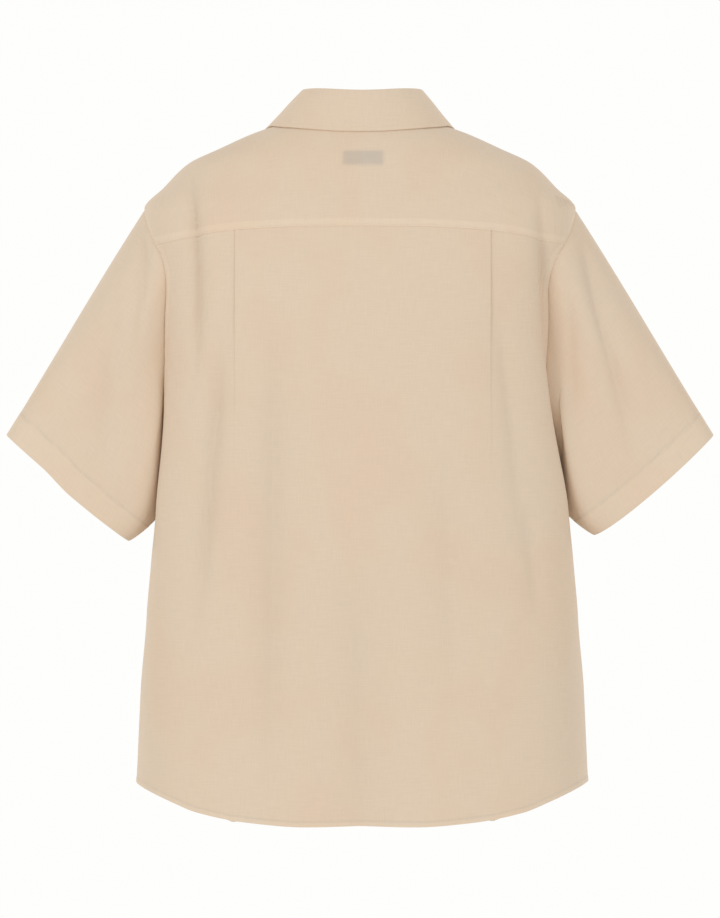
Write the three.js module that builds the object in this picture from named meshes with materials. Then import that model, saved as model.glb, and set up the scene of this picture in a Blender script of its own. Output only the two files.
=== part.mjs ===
// Short-sleeve shirt with a turn-down collar, hollow and filled out as it is when worn.
// Millimetres, +Z up. The back faces +Y, the buttoned front faces -Y, and +X is the wearer's left.
// The origin is the middle of the neck opening, at the height where the collar meets the shoulder.
// Every panel is a thin wall on one common body form. A point of the form is named by its turn
// (degrees round the body: 0 left side, 90 centre back, 180 right side, -90 centre front) and z.
import * as THREE from 'three';
import { mergeVertices } from 'three/addons/utils/BufferGeometryUtils.js';

const WALL = 1.0;
const COLLAR_WALL = 1.4;
const SEAM_GAP = 0.36;
const BODY_HEM = { depth: 6, thickness: 2.0 };
const SLEEVE_HEM = { depth: 28, thickness: 2.0 };
const FRONT_LAP = { half: 15, clearance: 1.35, ease: 60 };
const NECK = { halfWidth: 73, back: 60, front: 66 };
const PLAN_FLATNESS = 0.5;
const BUTTON = { radius: 5.6, thickness: 2.4, rim: 0.9, seat: 0.35, sides: 12 };
const FRONT_BUTTONS = { count: 6, top: -122, pitch: 94 };
const STAND_BUTTON_Z = -59;
const LABEL = { centre: -3.2, halfWidth: 20.8, top: -39.2, bottom: -54.2, thickness: 0.8, clearance: 0.55 };

// Horizontal sections of the body form, from the neck down: half width, depth behind and before
// the shoulder line, squareness of the oval, how far the side is tucked in under the sleeve, and
// how far the section hangs to one side.
const SECTIONS = [
  { z: 14, half: 44, back: 36, front: 6, square: 2.1, tuck: 0, shift: 0 },
  { z: 4, half: 64, back: 52, front: 14, square: 2.1, tuck: 0, shift: 0 },
  { z: -3, half: 79, back: 60, front: 22, square: 2.1, tuck: 0, shift: 0 },
  { z: -16, half: 114.5, back: 74, front: 32, square: 2.15, tuck: 0, shift: 0 },
  { z: -31, half: 147.5, back: 84, front: 42, square: 2.2, tuck: 0, shift: 0 },
  { z: -47, half: 180.5, back: 91, front: 52, square: 2.25, tuck: 0, shift: 0 },
  { z: -72, half: 206, back: 98, front: 66, square: 2.3, tuck: 0, shift: 0 },
  { z: -94, half: 226, back: 104, front: 82, square: 2.35, tuck: 0, shift: 0 },
  { z: -120, half: 225, back: 108, front: 95, square: 2.45, tuck: 0, shift: 0 },
  { z: -150, half: 218, back: 112, front: 106, square: 2.5, tuck: 0, shift: 0 },
  { z: -189, half: 212.6, back: 116, front: 115, square: 2.5, tuck: 0, shift: 0 },
  { z: -232, half: 212, back: 118, front: 120, square: 2.45, tuck: 5, shift: -0.4 },
  { z: -290, half: 216.4, back: 120, front: 122, square: 2.45, tuck: 20, shift: -1.2 },
  { z: -346, half: 223.4, back: 120, front: 123, square: 2.45, tuck: 34, shift: -2.0 },
  { z: -407, half: 228.6, back: 119, front: 123, square: 2.45, tuck: 28, shift: -2.4 },
  { z: -460, half: 229.2, back: 118, front: 122, square: 2.5, tuck: 14, shift: -2.4 },
  { z: -520, half: 228.4, back: 116, front: 121, square: 2.6, tuck: 3, shift: -2.4 },
  { z: -600, half: 232.4, back: 117, front: 122, square: 2.5, tuck: 0, shift: -2.4 },
  { z: -760, half: 239.4, back: 121, front: 126, square: 2.4, tuck: 0, shift: -2.4 },
];
const TUCK_SPREAD = 25;

// One armhole on the form, from the shoulder tip down its back edge to the underarm: height and
// distance from the shoulder line, behind and before it. The yoke's seams end at the marked rows.
const ARMHOLE = [
  { z: -94.5, behind: 0, before: 0, name: 'shoulder tip' },
  { z: -108, behind: 25, before: 24, name: 'front yoke seam' },
  { z: -134, behind: 46, before: 44, name: 'back yoke seam' },
  { z: -160, behind: 54, before: 56 },
  { z: -192, behind: 51, before: 54 },
  { z: -236, behind: 43, before: 45 },
  { z: -296, behind: 38, before: 38 },
  { z: -350, behind: 25, before: 25 },
  { z: -366, behind: 0, before: 0, name: 'underarm' },
];
const YOKE_FRONT_ROW = 1;
const YOKE_BACK_ROW = 2;
const UNDERARM = ARMHOLE.length - 1;

const BACK_SEAM = [
  { x: 0, z: -117.5 }, { x: 60, z: -118 }, { x: 128, z: -121 }, { x: 165, z: -125 },
  { x: 190, z: -130 }, { x: 214, z: -134 },
];
const BACK_HEM = [
  { x: 0, z: -730 }, { x: 58, z: -731.4 }, { x: 115, z: -727.5 }, { x: 168, z: -718.3 },
  { x: 194, z: -709 }, { x: 220, z: -699 }, { x: 236, z: -692.8 },
];
const FRONT_HEM = [
  { x: 0, z: -711 }, { x: 90, z: -710 }, { x: 168, z: -703.5 }, { x: 210, z: -697 },
  { x: 236, z: -692.8 },
];
const FRONT_SEAM_AT_NECK = -27;

// Soft folds that fall down the body: which side they face, where they start and end, their X at
// the top, middle and end, half their width, and their depth (a ridge has a depth below 0).
const BODY_FOLDS = [
  { face: 'back', top: -60, end: -430, x: [-185, -202, -224], width: 8, depth: 10 },
  { face: 'back', top: -185, end: -480, x: [-140, -158, -170], width: 12, depth: 4.5 },
  { face: 'back', top: -390, end: -540, x: [-172, -178, -187], width: 8, depth: 3.5 },
  { face: 'back', top: -40, end: -300, x: [178, 169, 174], width: 7, depth: 5.5 },
  { face: 'back', top: -205, end: -580, x: [143, 156, 177], width: 10, depth: 6.5 },
  { face: 'back', top: -170, end: -600, x: [88, 91, 98], width: 17, depth: 4 },
  { face: 'back', top: -430, end: -850, x: [4, -2, -3], width: 26, depth: 4.5 },
  { face: 'back', top: -330, end: -660, x: [-84, -92, -100], width: 18, depth: 2.5 },
  { face: 'front', top: -90, end: -340, x: [-176, -184, -194], width: 13, depth: 7 },
  { face: 'front', top: -80, end: -360, x: [170, 179, 192], width: 13, depth: 6 },
  { face: 'front', top: -200, end: -520, x: [128, 148, 168], width: 13, depth: 5 },
  { face: 'front', top: -230, end: -560, x: [-118, -134, -160], width: 13, depth: 5 },
  { face: 'front', top: -330, end: -820, x: [72, 80, 88], width: 19, depth: 3.5 },
  { face: 'front', top: -300, end: -800, x: [-66, -70, -84], width: 18, depth: 4 },
];
// The same for the sleeves, one row a fold, on the side (left or right) and face named.
const SLEEVE_FOLDS = [
  { side: 1, face: 'back', top: -92, end: -250, x: [231, 226, 232], width: 6, depth: 5 },
  { side: 1, face: 'back', top: -160, end: -420, x: [256, 262, 284], width: 13, depth: 4 },
  { side: 1, face: 'front', top: -110, end: -330, x: [236, 238, 254], width: 8, depth: 5 },
  { side: -1, face: 'back', top: -92, end: -380, x: [228, 256, 296], width: 9, depth: 8 },
  { side: -1, face: 'back', top: -140, end: -400, x: [218, 219, 230], width: 9, depth: 3.5 },
  { side: -1, face: 'front', top: -110, end: -350, x: [234, 240, 260], width: 9, depth: 6 },
];

// Two knife pleats hang from the back yoke seam with their edges towards the armholes. Each row
// gives, for a height, the length of cloth folded back under, the turn of that middle layer
// (180 is flat back, 0 is unfolded) and the step that is left on the armhole side of the edge.
const PLEAT_EDGES = { left: 128, right: -134 };
const PLEAT = [
  { z: -110, under: 9, turn: 180 },
  { z: -145, under: 6, turn: 180 },
  { z: -190, under: 2.4, turn: 165 },
  { z: -217, under: 2.2, turn: 110 },
  { z: -250, under: 2.4, turn: 55 },
  { z: -300, under: 3, turn: 22 },
  { z: -375, under: 4, turn: 4 },
  { z: -475, under: 4, turn: 0 },
  { z: -760, under: 4, turn: 0 },
];
const PLEAT_BEND = 0.78;
const PLEAT_BEND_STEPS = 3;
const PLEAT_SETTLE = 34;

const SLEEVE = {
  cuffCentre: { x: 306, y: -5, z: -386 },
  cuffReach: { x: 64, z: 55.5 },
  cuffHalfDepth: 49,
  cuffFlatness: 0.42,
  rings: 8,
};
// How the underarm is pressed to the body: the gap it keeps, over what reach past that, by what
// share, from what part of the way round, and over what part of its length it comes free at the cuff.
const PRESS = { gap: 2.4, reach: 120, share: 0.95, from: 0.55, rise: 0.25, free: 0.65 };

// How far the cuff's edge lies from a flat oval, by its part of the way from the outer corner (0) to
// the underarm (1): bowed out along the sleeve past the start, lifted and drawn in at the underarm.
const CUFF_EDGE = {
  bow: 3.2,
  start: { left: 0.3, right: -0.3 },
  rise: 0.25,
  lift: { left: 0, right: 2.5 },
  drawIn: { left: 0, right: 6.5 },
  liftPower: 8,
};
// The way the sleeve's cloth leaves the armhole and arrives at the cuff, by armhole row. The cuff's
// back and front edges hang lower than its two corners.
const SLEEVE_LEAD = [
  { row: 0, x: 0.545, y: 0, z: -0.84, endX: 0.525, endY: 0, endZ: -0.851 },
  { row: 3, x: 0.5, y: 0.16, z: -0.85, endX: 0.56, endY: 0, endZ: -0.83 },
  { row: 4, x: 0.53, y: 0.16, z: -0.83, endX: 0.58, endY: 0, endZ: -0.82 },
  { row: 5, x: 0.58, y: 0.25, z: -0.79, endX: 0.6, endY: -0.1, endZ: -0.8 },
  { row: 6, x: 0.64, y: 0.32, z: -0.74, endX: 0.62, endY: -0.25, endZ: -0.78 },
  { row: 7, x: 0.67, y: 0.45, z: -0.72, endX: 0.64, endY: -0.45, endZ: -0.765 },
  { row: 7.7, x: 0.68, y: 0.5, z: -0.73, endX: 0.65, endY: -0.4, endZ: -0.755 },
  { row: 8, x: 0.68, y: 0, z: -0.73, endX: 0.66, endY: 0, endZ: -0.75 },
];

// The collar by plan angle, from the centre back (90) to the centre front (-90), alike on both
// sides but for the shift in X of its head: height and lean of the stand, that shift, and plan
// angle, height and lift off the body of the fall's outer edge.
const COLLAR = [
  { angle: 90, stand: 26.8, lean: 8, shift: -2.4, edgeAngle: 90, edgeZ: -19, lift: 2.2 },
  { angle: 76, stand: 26.85, lean: 8.2, shift: -2.4, edgeAngle: 76, edgeZ: -18.7, lift: 2.2 },
  { angle: 60, stand: 27.2, lean: 8.9, shift: -2.4, edgeAngle: 60, edgeZ: -17.2, lift: 2.2 },
  { angle: 32, stand: 28, lean: 10.2, shift: -2.4, edgeAngle: 33, edgeZ: -13, lift: 2.4 },
  { angle: 5, stand: 28.6, lean: 11, shift: -2.4, edgeAngle: 8, edgeZ: -9, lift: 2.6 },
  { angle: -8, stand: 28.6, lean: 10.6, shift: -2.3, edgeAngle: -4, edgeZ: -11, lift: 2.6 },
  { angle: -24, stand: 28.5, lean: 8.6, shift: -2, edgeAngle: -16, edgeZ: -24, lift: 2.6 },
  { angle: -57, stand: 28.5, lean: 5, shift: -0.8, edgeAngle: -38, edgeZ: -64, lift: 2.8 },
  { angle: -90, stand: 28, lean: 3, shift: 0, edgeAngle: -64, edgeZ: -110, lift: 2.8 },
];
// The fall in section. The first rows roll over the top of the stand, at distances outwards and up
// from its outer edge, with the wall facing so many degrees from upright. The others go from
// there to the outer edge, by the part of the way and how far they bow above the straight line.
const FALL_ROLL = [
  { out: -1.4, up: 1.9, facing: 0 }, { out: 0.4, up: 2.1, facing: 12 },
  { out: 2.4, up: 1, facing: 48 },
];
const FALL_DROP = [{ part: 0.3, bow: 0.5 }, { part: 0.65, bow: 0.1 }, { part: 1, bow: 0 }];
const STAND_OVERLAP = 15;
const STAND_UNDERLAP_STEP = 2.1;
const STAND_BOW = 1.5;
const STAND_CLEARANCE = 0.48;

const cloth = (colour) => new THREE.MeshStandardMaterial({ color: colour, roughness: 0.92, metalness: 0 });
const BACK_CLOTH = cloth(0xdec8b0);
const FRONT_CLOTH = cloth(0xdac4ac);
const YOKE_CLOTH = cloth(0xe0cab2);
const SLEEVE_CLOTH = cloth(0xd9c5ae);
const COLLAR_CLOTH = cloth(0xe2cdb6);
const LABEL_CLOTH = cloth(0xc7baa9);
const BUTTON_RESIN = new THREE.MeshStandardMaterial({ color: 0xe9dfd0, roughness: 0.3, metalness: 0 });

const mix = (a, b, t) => a + (b - a) * t;
const clamp = (value, low, high) => Math.min(high, Math.max(low, value));
const smooth = (t) => {
  const s = clamp(t, 0, 1);
  return s * s * (3 - 2 * s);
};
const radians = (degrees) => (degrees * Math.PI) / 180;
const steps = (count) => Array.from({ length: count + 1 }, (_, i) => i / count);

// A smooth curve through the rows of a table that never overshoots between two rows.
function tableCurve(rows, at, value) {
  const x = rows.map((row) => row[at]);
  const y = rows.map((row) => row[value]);
  const slope = x.slice(1).map((_, i) => (y[i + 1] - y[i]) / (x[i + 1] - x[i]));
  const lean = x.map((_, i) => {
    if (i === 0) return slope[0];
    if (i === x.length - 1) return slope[i - 1];
    if (slope[i - 1] * slope[i] <= 0) return 0;
    return (2 * slope[i - 1] * slope[i]) / (slope[i - 1] + slope[i]);
  });
  const rising = x[1] > x[0];
  return (place) => {
    let i = 0;
    while (i < x.length - 2 && (rising ? place > x[i + 1] : place < x[i + 1])) i += 1;
    const width = x[i + 1] - x[i];
    const t = clamp((place - x[i]) / width, 0, 1);
    const h = t * t * (3 - 2 * t);
    const start = t * (1 - t) * (1 - t) * width * lean[i];
    const finish = t * t * (t - 1) * width * lean[i + 1];
    return mix(y[i], y[i + 1], h) + start + finish;
  };
}

const sectionHalf = tableCurve(SECTIONS, 'z', 'half');
const sectionBack = tableCurve(SECTIONS, 'z', 'back');
const sectionFront = tableCurve(SECTIONS, 'z', 'front');
const sectionSquare = tableCurve(SECTIONS, 'z', 'square');
const sectionTuck = tableCurve(SECTIONS, 'z', 'tuck');
const sectionShift = tableCurve(SECTIONS, 'z', 'shift');

// Distance of the form from the upright axis, for a plan angle in radians and a height.
function formRadius(angle, z) {
  const c = Math.abs(Math.cos(angle));
  const s = Math.sin(angle);
  const depth = s >= 0 ? sectionBack(z) : sectionFront(z);
  const n = sectionSquare(z);
  const radius = ((c / sectionHalf(z)) ** n + (Math.abs(s) / depth) ** n) ** (-1 / n);
  const side = radius * s;
  return radius - sectionTuck(z) * Math.exp(-((side / TUCK_SPREAD) ** 2) / 2);
}

// The plan angle of a turn: even steps of turn are about even steps along the cloth.
function planAngle(turn) {
  const t = radians(turn);
  return Math.atan2(PLAN_FLATNESS * Math.sin(t), Math.cos(t));
}

function turnOfAngle(angle) {
  return (Math.atan2(Math.sin(angle) / PLAN_FLATNESS, Math.cos(angle)) * 180) / Math.PI;
}

function plainPoint(turn, z) {
  const angle = planAngle(turn);
  const radius = formRadius(angle, z);
  return new THREE.Vector3(radius * Math.cos(angle) + sectionShift(z), radius * Math.sin(angle), z);
}

// How far a fold row moves the cloth inwards at X and z: full depth along its line, none outside.
function foldDepth(fold, x, z) {
  const along = (z - fold.top) / (fold.end - fold.top);
  if (along <= 0 || along >= 1) return 0;
  const [x0, x1, x2] = fold.x;
  const line = 2 * (along - 0.5) * (along - 1) * x0 - 4 * along * (along - 1) * x1
    + 2 * along * (along - 0.5) * x2;
  const fade = smooth(along / 0.3) * smooth((1 - along) / 0.45);
  return fold.depth * fade * Math.exp(-(((x - line) / fold.width) ** 2) / 2);
}

function outwardOf(pointAt, a, b, stepA, stepB) {
  const alongA = pointAt(a + stepA, b).sub(pointAt(a - stepA, b));
  const alongB = pointAt(a, b + stepB).sub(pointAt(a, b - stepB));
  return { across: alongA.clone().normalize(), out: alongA.cross(alongB).normalize() };
}

// A point of the folded form. Folds fade out where the cloth turns to the sides.
function formPoint(turn, z) {
  const point = plainPoint(turn, z);
  const face = Math.sin(radians(turn)) >= 0 ? 'back' : 'front';
  const facing = smooth((Math.abs(point.y) - 8) / 30);
  let depth = 0;
  for (const fold of BODY_FOLDS) {
    if (fold.face === face) depth += foldDepth(fold, point.x, z);
  }
  if (depth === 0) return point;
  const { out } = outwardOf(plainPoint, turn, z, 0.4, 0.6);
  return point.addScaledVector(out, -depth * facing);
}

// The form's point with the direction round the body and the outward direction there.
function formFrame(turn, z) {
  const { across, out } = outwardOf(formPoint, turn, z, 0.5, 0.8);
  return { point: formPoint(turn, z), across, out };
}

// The turn between two limits where a measure of the form reaches a value.
function solveTurn(measure, value, low, high) {
  let a = low;
  let b = high;
  const rising = measure(b) > measure(a);
  for (let i = 0; i < 40; i += 1) {
    const middle = (a + b) / 2;
    if (measure(middle) < value === rising) a = middle;
    else b = middle;
  }
  return (a + b) / 2;
}

const turnAtX = (x, z, face) => (face === 'back'
  ? solveTurn((turn) => plainPoint(turn, z).x, x, 12, 168)
  : solveTurn((turn) => plainPoint(turn, z).x, x, -168, -12));
const turnAtY = (y, z) => (y >= 0
  ? solveTurn((turn) => plainPoint(turn, z).y, y, 0, 80)
  : solveTurn((turn) => plainPoint(turn, z).y, y, -80, 0));

// A place on the form is [turn, z]. Armhole places go by row: 0 to UNDERARM behind, and on to
// twice UNDERARM before, back at the shoulder tip.
const armholeLoop = new THREE.CatmullRomCurve3(
  [
    ...ARMHOLE.map((row) => new THREE.Vector3(row.behind, row.z, 0)),
    ...ARMHOLE.slice(1, -1).reverse().map((row) => new THREE.Vector3(-row.before, row.z, 0)),
  ],
  true,
  'catmullrom',
  0.5,
);
const ARMHOLE_ROWS = 2 * UNDERARM;

function armholePlace(row, side) {
  const wrapped = ((row % ARMHOLE_ROWS) + ARMHOLE_ROWS) % ARMHOLE_ROWS;
  const flat = armholeLoop.getPoint(wrapped / ARMHOLE_ROWS);
  const turn = turnAtY(flat.x, flat.y);
  return [side > 0 ? turn : 180 - turn, flat.y];
}

function necklinePlace(angleDegrees) {
  const angle = radians(angleDegrees);
  const depth = Math.sin(angle) >= 0 ? NECK.back : NECK.front;
  const x = NECK.halfWidth * Math.cos(angle);
  const y = depth * Math.sin(angle);
  const plan = Math.atan2(y, x);
  const reach = Math.hypot(x, y);
  let low = -100;
  let high = 12;
  for (let i = 0; i < 40; i += 1) {
    const middle = (low + high) / 2;
    if (formRadius(plan, middle) > reach) low = middle;
    else high = middle;
  }
  return [turnOfAngle(plan), (low + high) / 2];
}

// A seam or hem line given by its height over X, met by stepping to it from above.
function linePlace(rows, turn) {
  const heightAt = tableCurve(rows, 'x', 'z');
  let z = rows[0].z;
  for (let i = 0; i < 5; i += 1) z = heightAt(Math.abs(plainPoint(turn, z).x));
  return [turn, z];
}

// A blend of four edges, each a function from 0..1 to a list of numbers.
function blendEdges(top, bottom, left, right) {
  return (u, v) => top(u).map((start, k) => mix(start, bottom(u)[k], v) + mix(left(v)[k], right(v)[k], u)
    - mix(mix(left(0)[k], right(0)[k], u), mix(left(1)[k], right(1)[k], u), v));
}

// The place on the form that is nearest to a point, found from a place close by.
function nearestPlace(point, guess) {
  let [turn, z] = guess;
  for (let i = 0; i < 12; i += 1) {
    const here = plainPoint(turn, z);
    const away = point.clone().sub(here);
    const perTurn = plainPoint(turn + 0.1, z).sub(here).divideScalar(0.1);
    const perZ = plainPoint(turn, z + 0.1).sub(here).divideScalar(0.1);
    const a = perTurn.dot(perTurn);
    const b = perTurn.dot(perZ);
    const c = perZ.dot(perZ);
    const det = a * c - b * b;
    turn += clamp((c * away.dot(perTurn) - b * away.dot(perZ)) / det, -6, 6);
    z += clamp((a * away.dot(perZ) - b * away.dot(perTurn)) / det, -25, 25);
  }
  return [turn, z];
}

// A patch of the form between four edges. Down to the reach it is laid out in space and put onto
// the form, because the seams there run along the slope of the shoulder.
function formPatch(edges, reach) {
  const places = blendEdges(...edges);
  const points = blendEdges(...edges.map((edge) => (t) => plainPoint(...edge(t)).toArray()));
  return (u, v) => {
    const even = places(u, v);
    const share = smooth((reach - v) / (0.5 * reach));
    if (u === 0 || u === 1 || v === 0 || v === 1 || share === 0) return even;
    const laid = nearestPlace(new THREE.Vector3(...points(u, v)), even);
    return even.map((value, k) => mix(value, laid[k], share));
  };
}

// A closed thin solid between two grids of points, rows down and columns round. A tube's columns
// meet again. A mirrored grid is turned so that its faces still point outwards.
function wallGeometry(grid, { tube = false, mirrored = false } = {}) {
  const rows = grid.length;
  const columns = grid[0].length;
  const positions = [];
  for (const layer of ['outer', 'inner']) {
    for (const row of grid) {
      for (const corner of row) positions.push(...corner[layer].toArray());
    }
  }
  const at = (layer, j, i) => layer * rows * columns + j * columns + (i % columns);
  const index = [];
  const quad = (a, b, c, d) => {
    if (mirrored) index.push(a, c, b, a, d, c);
    else index.push(a, b, c, a, c, d);
  };
  const spans = tube ? columns : columns - 1;
  for (let j = 0; j < rows - 1; j += 1) {
    for (let i = 0; i < spans; i += 1) {
      quad(at(0, j, i), at(0, j + 1, i), at(0, j + 1, i + 1), at(0, j, i + 1));
      quad(at(1, j, i), at(1, j, i + 1), at(1, j + 1, i + 1), at(1, j + 1, i));
    }
  }
  for (let i = 0; i < spans; i += 1) {
    quad(at(0, 0, i), at(0, 0, i + 1), at(1, 0, i + 1), at(1, 0, i));
    quad(at(0, rows - 1, i), at(1, rows - 1, i), at(1, rows - 1, i + 1), at(0, rows - 1, i + 1));
  }
  for (let j = 0; j < rows - 1 && !tube; j += 1) {
    quad(at(0, j, 0), at(1, j, 0), at(1, j + 1, 0), at(0, j + 1, 0));
    const last = columns - 1;
    quad(at(0, j, last), at(0, j + 1, last), at(1, j + 1, last), at(1, j, last));
  }
  const geometry = new THREE.BufferGeometry();
  geometry.setAttribute('position', new THREE.Float32BufferAttribute(positions, 3));
  geometry.setIndex(index);
  geometry.computeVertexNormals();
  return geometry;
}

// Pulls the sewn edges of a grid back by half a seam gap, towards the next points of the wall. A
// hemmed grid's last row is its free edge and stays.
function openSeams(grid, { hemmed = false } = {}) {
  const pull = (edge, next) => {
    for (const layer of ['outer', 'inner']) {
      const way = next[layer].clone().sub(edge[layer]).normalize();
      edge[layer].addScaledVector(way, SEAM_GAP / 2);
    }
  };
  const last = grid[0].length - 1;
  for (const row of grid) {
    pull(row[0], row[1]);
    pull(row[last], row[last - 1]);
  }
  grid[0].forEach((edge, i) => pull(edge, grid[1][i]));
  const end = grid.length - 1;
  if (!hemmed) grid[end].forEach((edge, i) => pull(edge, grid[end - 1][i]));
}

// A wall corner under the form: the outer face lies on the form, sunk by depth.
function corner(place, { depth = 0, thickness = WALL } = {}) {
  const { point, out } = formFrame(...place);
  return {
    outer: point.clone().addScaledVector(out, -depth),
    inner: point.clone().addScaledVector(out, -depth - thickness),
  };
}

function mesh(name, geometry, material) {
  const piece = new THREE.Mesh(geometry, material);
  piece.name = name;
  return piece;
}

// The yoke: one piece over both shoulders, from the neckline to the back and front yoke seams.
const YOKE_SHOULDER_COLUMNS = 2 * (YOKE_BACK_ROW + YOKE_FRONT_ROW);
const YOKE_BACK_COLUMNS = 24;
const YOKE_REACH = 3;
const YOKE_SPANS = 2 * YOKE_SHOULDER_COLUMNS + YOKE_BACK_COLUMNS;
const YOKE_ROWS = [0, 0.1, 0.24, 0.4, 0.56, 0.72, 0.87, 1];
const YOKE_BACK_TURNS = [armholePlace(YOKE_BACK_ROW, 1)[0], armholePlace(YOKE_BACK_ROW, -1)[0]];

function frontYokeSeam(side, v) {
  const [neckTurn, neckZ] = necklinePlace(FRONT_SEAM_AT_NECK);
  const [armTurn, armZ] = armholePlace(ARMHOLE_ROWS - YOKE_FRONT_ROW, 1);
  const neckY = plainPoint(neckTurn, neckZ).y;
  const armY = plainPoint(armTurn, armZ).y;
  const z = mix(neckZ, armZ, v ** 1.15);
  const turn = turnAtY(mix(neckY, armY, v), z);
  return [side > 0 ? turn : 180 - turn, z];
}

function yoke() {
  const shoulder = YOKE_SHOULDER_COLUMNS;
  const outerPlace = (u) => {
    const i = u * YOKE_SPANS;
    if (i <= shoulder) return armholePlace(i / 2 - YOKE_FRONT_ROW, 1);
    if (i >= YOKE_SPANS - shoulder) return armholePlace((YOKE_SPANS - i) / 2 - YOKE_FRONT_ROW, -1);
    const turn = mix(...YOKE_BACK_TURNS, (i - shoulder) / YOKE_BACK_COLUMNS);
    return linePlace(BACK_SEAM, turn);
  };
  const neckPlace = (u) => {
    const [turn, z] = necklinePlace(mix(FRONT_SEAM_AT_NECK, 180 - FRONT_SEAM_AT_NECK, u));
    return [turn < -90 ? turn + 360 : turn, z];
  };
  const leftSeam = (v) => frontYokeSeam(1, v);
  const rightSeam = (v) => frontYokeSeam(-1, v);
  const place = formPatch([neckPlace, outerPlace, leftSeam, rightSeam], YOKE_REACH);
  const grid = YOKE_ROWS.map((v) => steps(YOKE_SPANS).map((u) => corner(place(u, v))));
  openSeams(grid);
  return mesh('yoke', wallGeometry(grid), YOKE_CLOTH);
}

// The back: one panel from the yoke seam to the curved hem, with a knife pleat below each
// shoulder blade. Its columns close up at the pleats, where the wall runs back under itself.
const ARM_STEPS = 2;
const SIDE_ROWS = [0.1, 0.22, 0.35, 0.48, 0.61, 0.74, 0.87];
const ARM_SHARE = 0.42;

function backSide(side, v) {
  if (v <= ARM_SHARE) {
    return armholePlace(mix(YOKE_BACK_ROW, UNDERARM, v / ARM_SHARE), side);
  }
  const underarm = ARMHOLE[UNDERARM].z;
  const hem = BACK_HEM[BACK_HEM.length - 1].z;
  return [side > 0 ? 0 : 180, mix(underarm, hem, (v - ARM_SHARE) / (1 - ARM_SHARE))];
}

function frontSide(side, v) {
  if (v <= ARM_SHARE) {
    const row = mix(ARMHOLE_ROWS - YOKE_FRONT_ROW, UNDERARM, v / ARM_SHARE);
    const [turn, z] = armholePlace(row, side);
    return [side > 0 ? turn : turn - 360, z];
  }
  const underarm = ARMHOLE[UNDERARM].z;
  const hem = FRONT_HEM[FRONT_HEM.length - 1].z;
  return [side > 0 ? 0 : -180, mix(underarm, hem, (v - ARM_SHARE) / (1 - ARM_SHARE))];
}

// Rows down a panel: two to each armhole row, even ones below, and the hem, with a short step at
// its stitched edge.
const PANEL_LENGTH = 590;
const HEM_STEP = 2.4;
const HEM_START = 1 - BODY_HEM.depth / PANEL_LENGTH;

function panelRows(armholeRowCount) {
  const armRows = steps(armholeRowCount * ARM_STEPS).map((t) => t * ARM_SHARE);
  const sideRows = SIDE_ROWS.map((t) => mix(ARM_SHARE, 1, t));
  return [...armRows, ...sideRows, HEM_START - HEM_STEP / PANEL_LENGTH, HEM_START, 1];
}

const panelThickness = (v) => (v >= HEM_START ? BODY_HEM.thickness : WALL);

const pleatUnder = tableCurve(PLEAT, 'z', 'under');
const pleatTurn = tableCurve(PLEAT, 'z', 'turn');

// The middle line of a pleat in section: from the fold edge outwards, as distances along the
// cloth's face (towards the armhole) and into the body, each with the direction its wall faces.
function pleatSection(z) {
  const turn = radians(pleatTurn(z));
  const points = [];
  let along = 0;
  let into = 0;
  const bend = (from, to, keepFirst) => {
    const count = PLEAT_BEND_STEPS;
    const startSin = Math.sin(from);
    const startCos = Math.cos(from);
    const sign = to > from ? 1 : -1;
    for (let i = keepFirst ? 0 : 1; i <= count; i += 1) {
      const now = mix(from, to, i / count);
      points.push({
        along: along + sign * PLEAT_BEND * (Math.sin(now) - startSin),
        into: into + sign * PLEAT_BEND * (startCos - Math.cos(now)),
        facing: now,
      });
    }
    along += sign * PLEAT_BEND * (Math.sin(to) - startSin);
    into += sign * PLEAT_BEND * (startCos - Math.cos(to));
  };
  bend(0, turn, true);
  along += pleatUnder(z) * Math.cos(turn);
  into += pleatUnder(z) * Math.sin(turn);
  const firstOfSecond = points.length;
  points.push({ along, into, facing: turn });
  bend(turn, 0, false);
  return { points, firstOfSecond, step: into };
}

// Places across the back at one height: plain columns and, at each pleat, its section.
function backColumns(turnLeft, turnRight, z) {
  const section = pleatSection(z);
  const leftEdge = turnAtX(PLEAT_EDGES.left, z, 'back');
  const rightEdge = turnAtX(PLEAT_EDGES.right, z, 'back');
  const plain = (turn) => ({ turn, along: 0, into: 0, facing: 0 });
  const stretch = (from, to, parts) => parts.map((t) => plain(mix(from, to, t)));
  const sideParts = [0, 0.22, 0.42, 0.6, 0.76, 0.9];
  const middleParts = steps(14).slice(1, -1);
  const pleatAt = (edge, towards) => {
    const columns = section.points.map((p) => ({
      turn: edge, along: p.along * towards, into: p.into, facing: p.facing * towards,
    }));
    return towards > 0 ? columns : columns.reverse();
  };
  return [
    ...stretch(turnLeft, leftEdge, sideParts),
    ...pleatAt(leftEdge, -1),
    ...stretch(leftEdge, rightEdge, middleParts),
    ...pleatAt(rightEdge, 1),
    ...stretch(turnRight, rightEdge, sideParts).reverse(),
  ];
}

function back() {
  const left = (v) => backSide(1, v);
  const right = (v) => backSide(-1, v);
  const top = (u) => linePlace(BACK_SEAM, mix(left(0)[0], right(0)[0], u));
  const bottom = (u) => linePlace(BACK_HEM, mix(0, 180, u));
  const place = blendEdges(top, bottom, left, right);
  const rows = panelRows(UNDERARM - YOKE_BACK_ROW);
  const grid = rows.map((v) => {
    const [turnLeft, sideZ] = left(v);
    const [turnRight] = right(v);
    const middleZ = place(0.5, v)[1];
    const columns = backColumns(turnLeft, turnRight, mix(sideZ, middleZ, 0.75));
    const thickness = panelThickness(v);
    return columns.map((column, i) => {
      const u = clamp((column.turn - turnLeft) / (turnRight - turnLeft), 0, 1);
      const z = i === 0 || i === columns.length - 1 ? sideZ : place(u, v)[1];
      return pleatCorner(column, z, thickness);
    });
  });
  openSeams(grid, { hemmed: true });
  return mesh('back', wallGeometry(grid), BACK_CLOTH);
}

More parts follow.
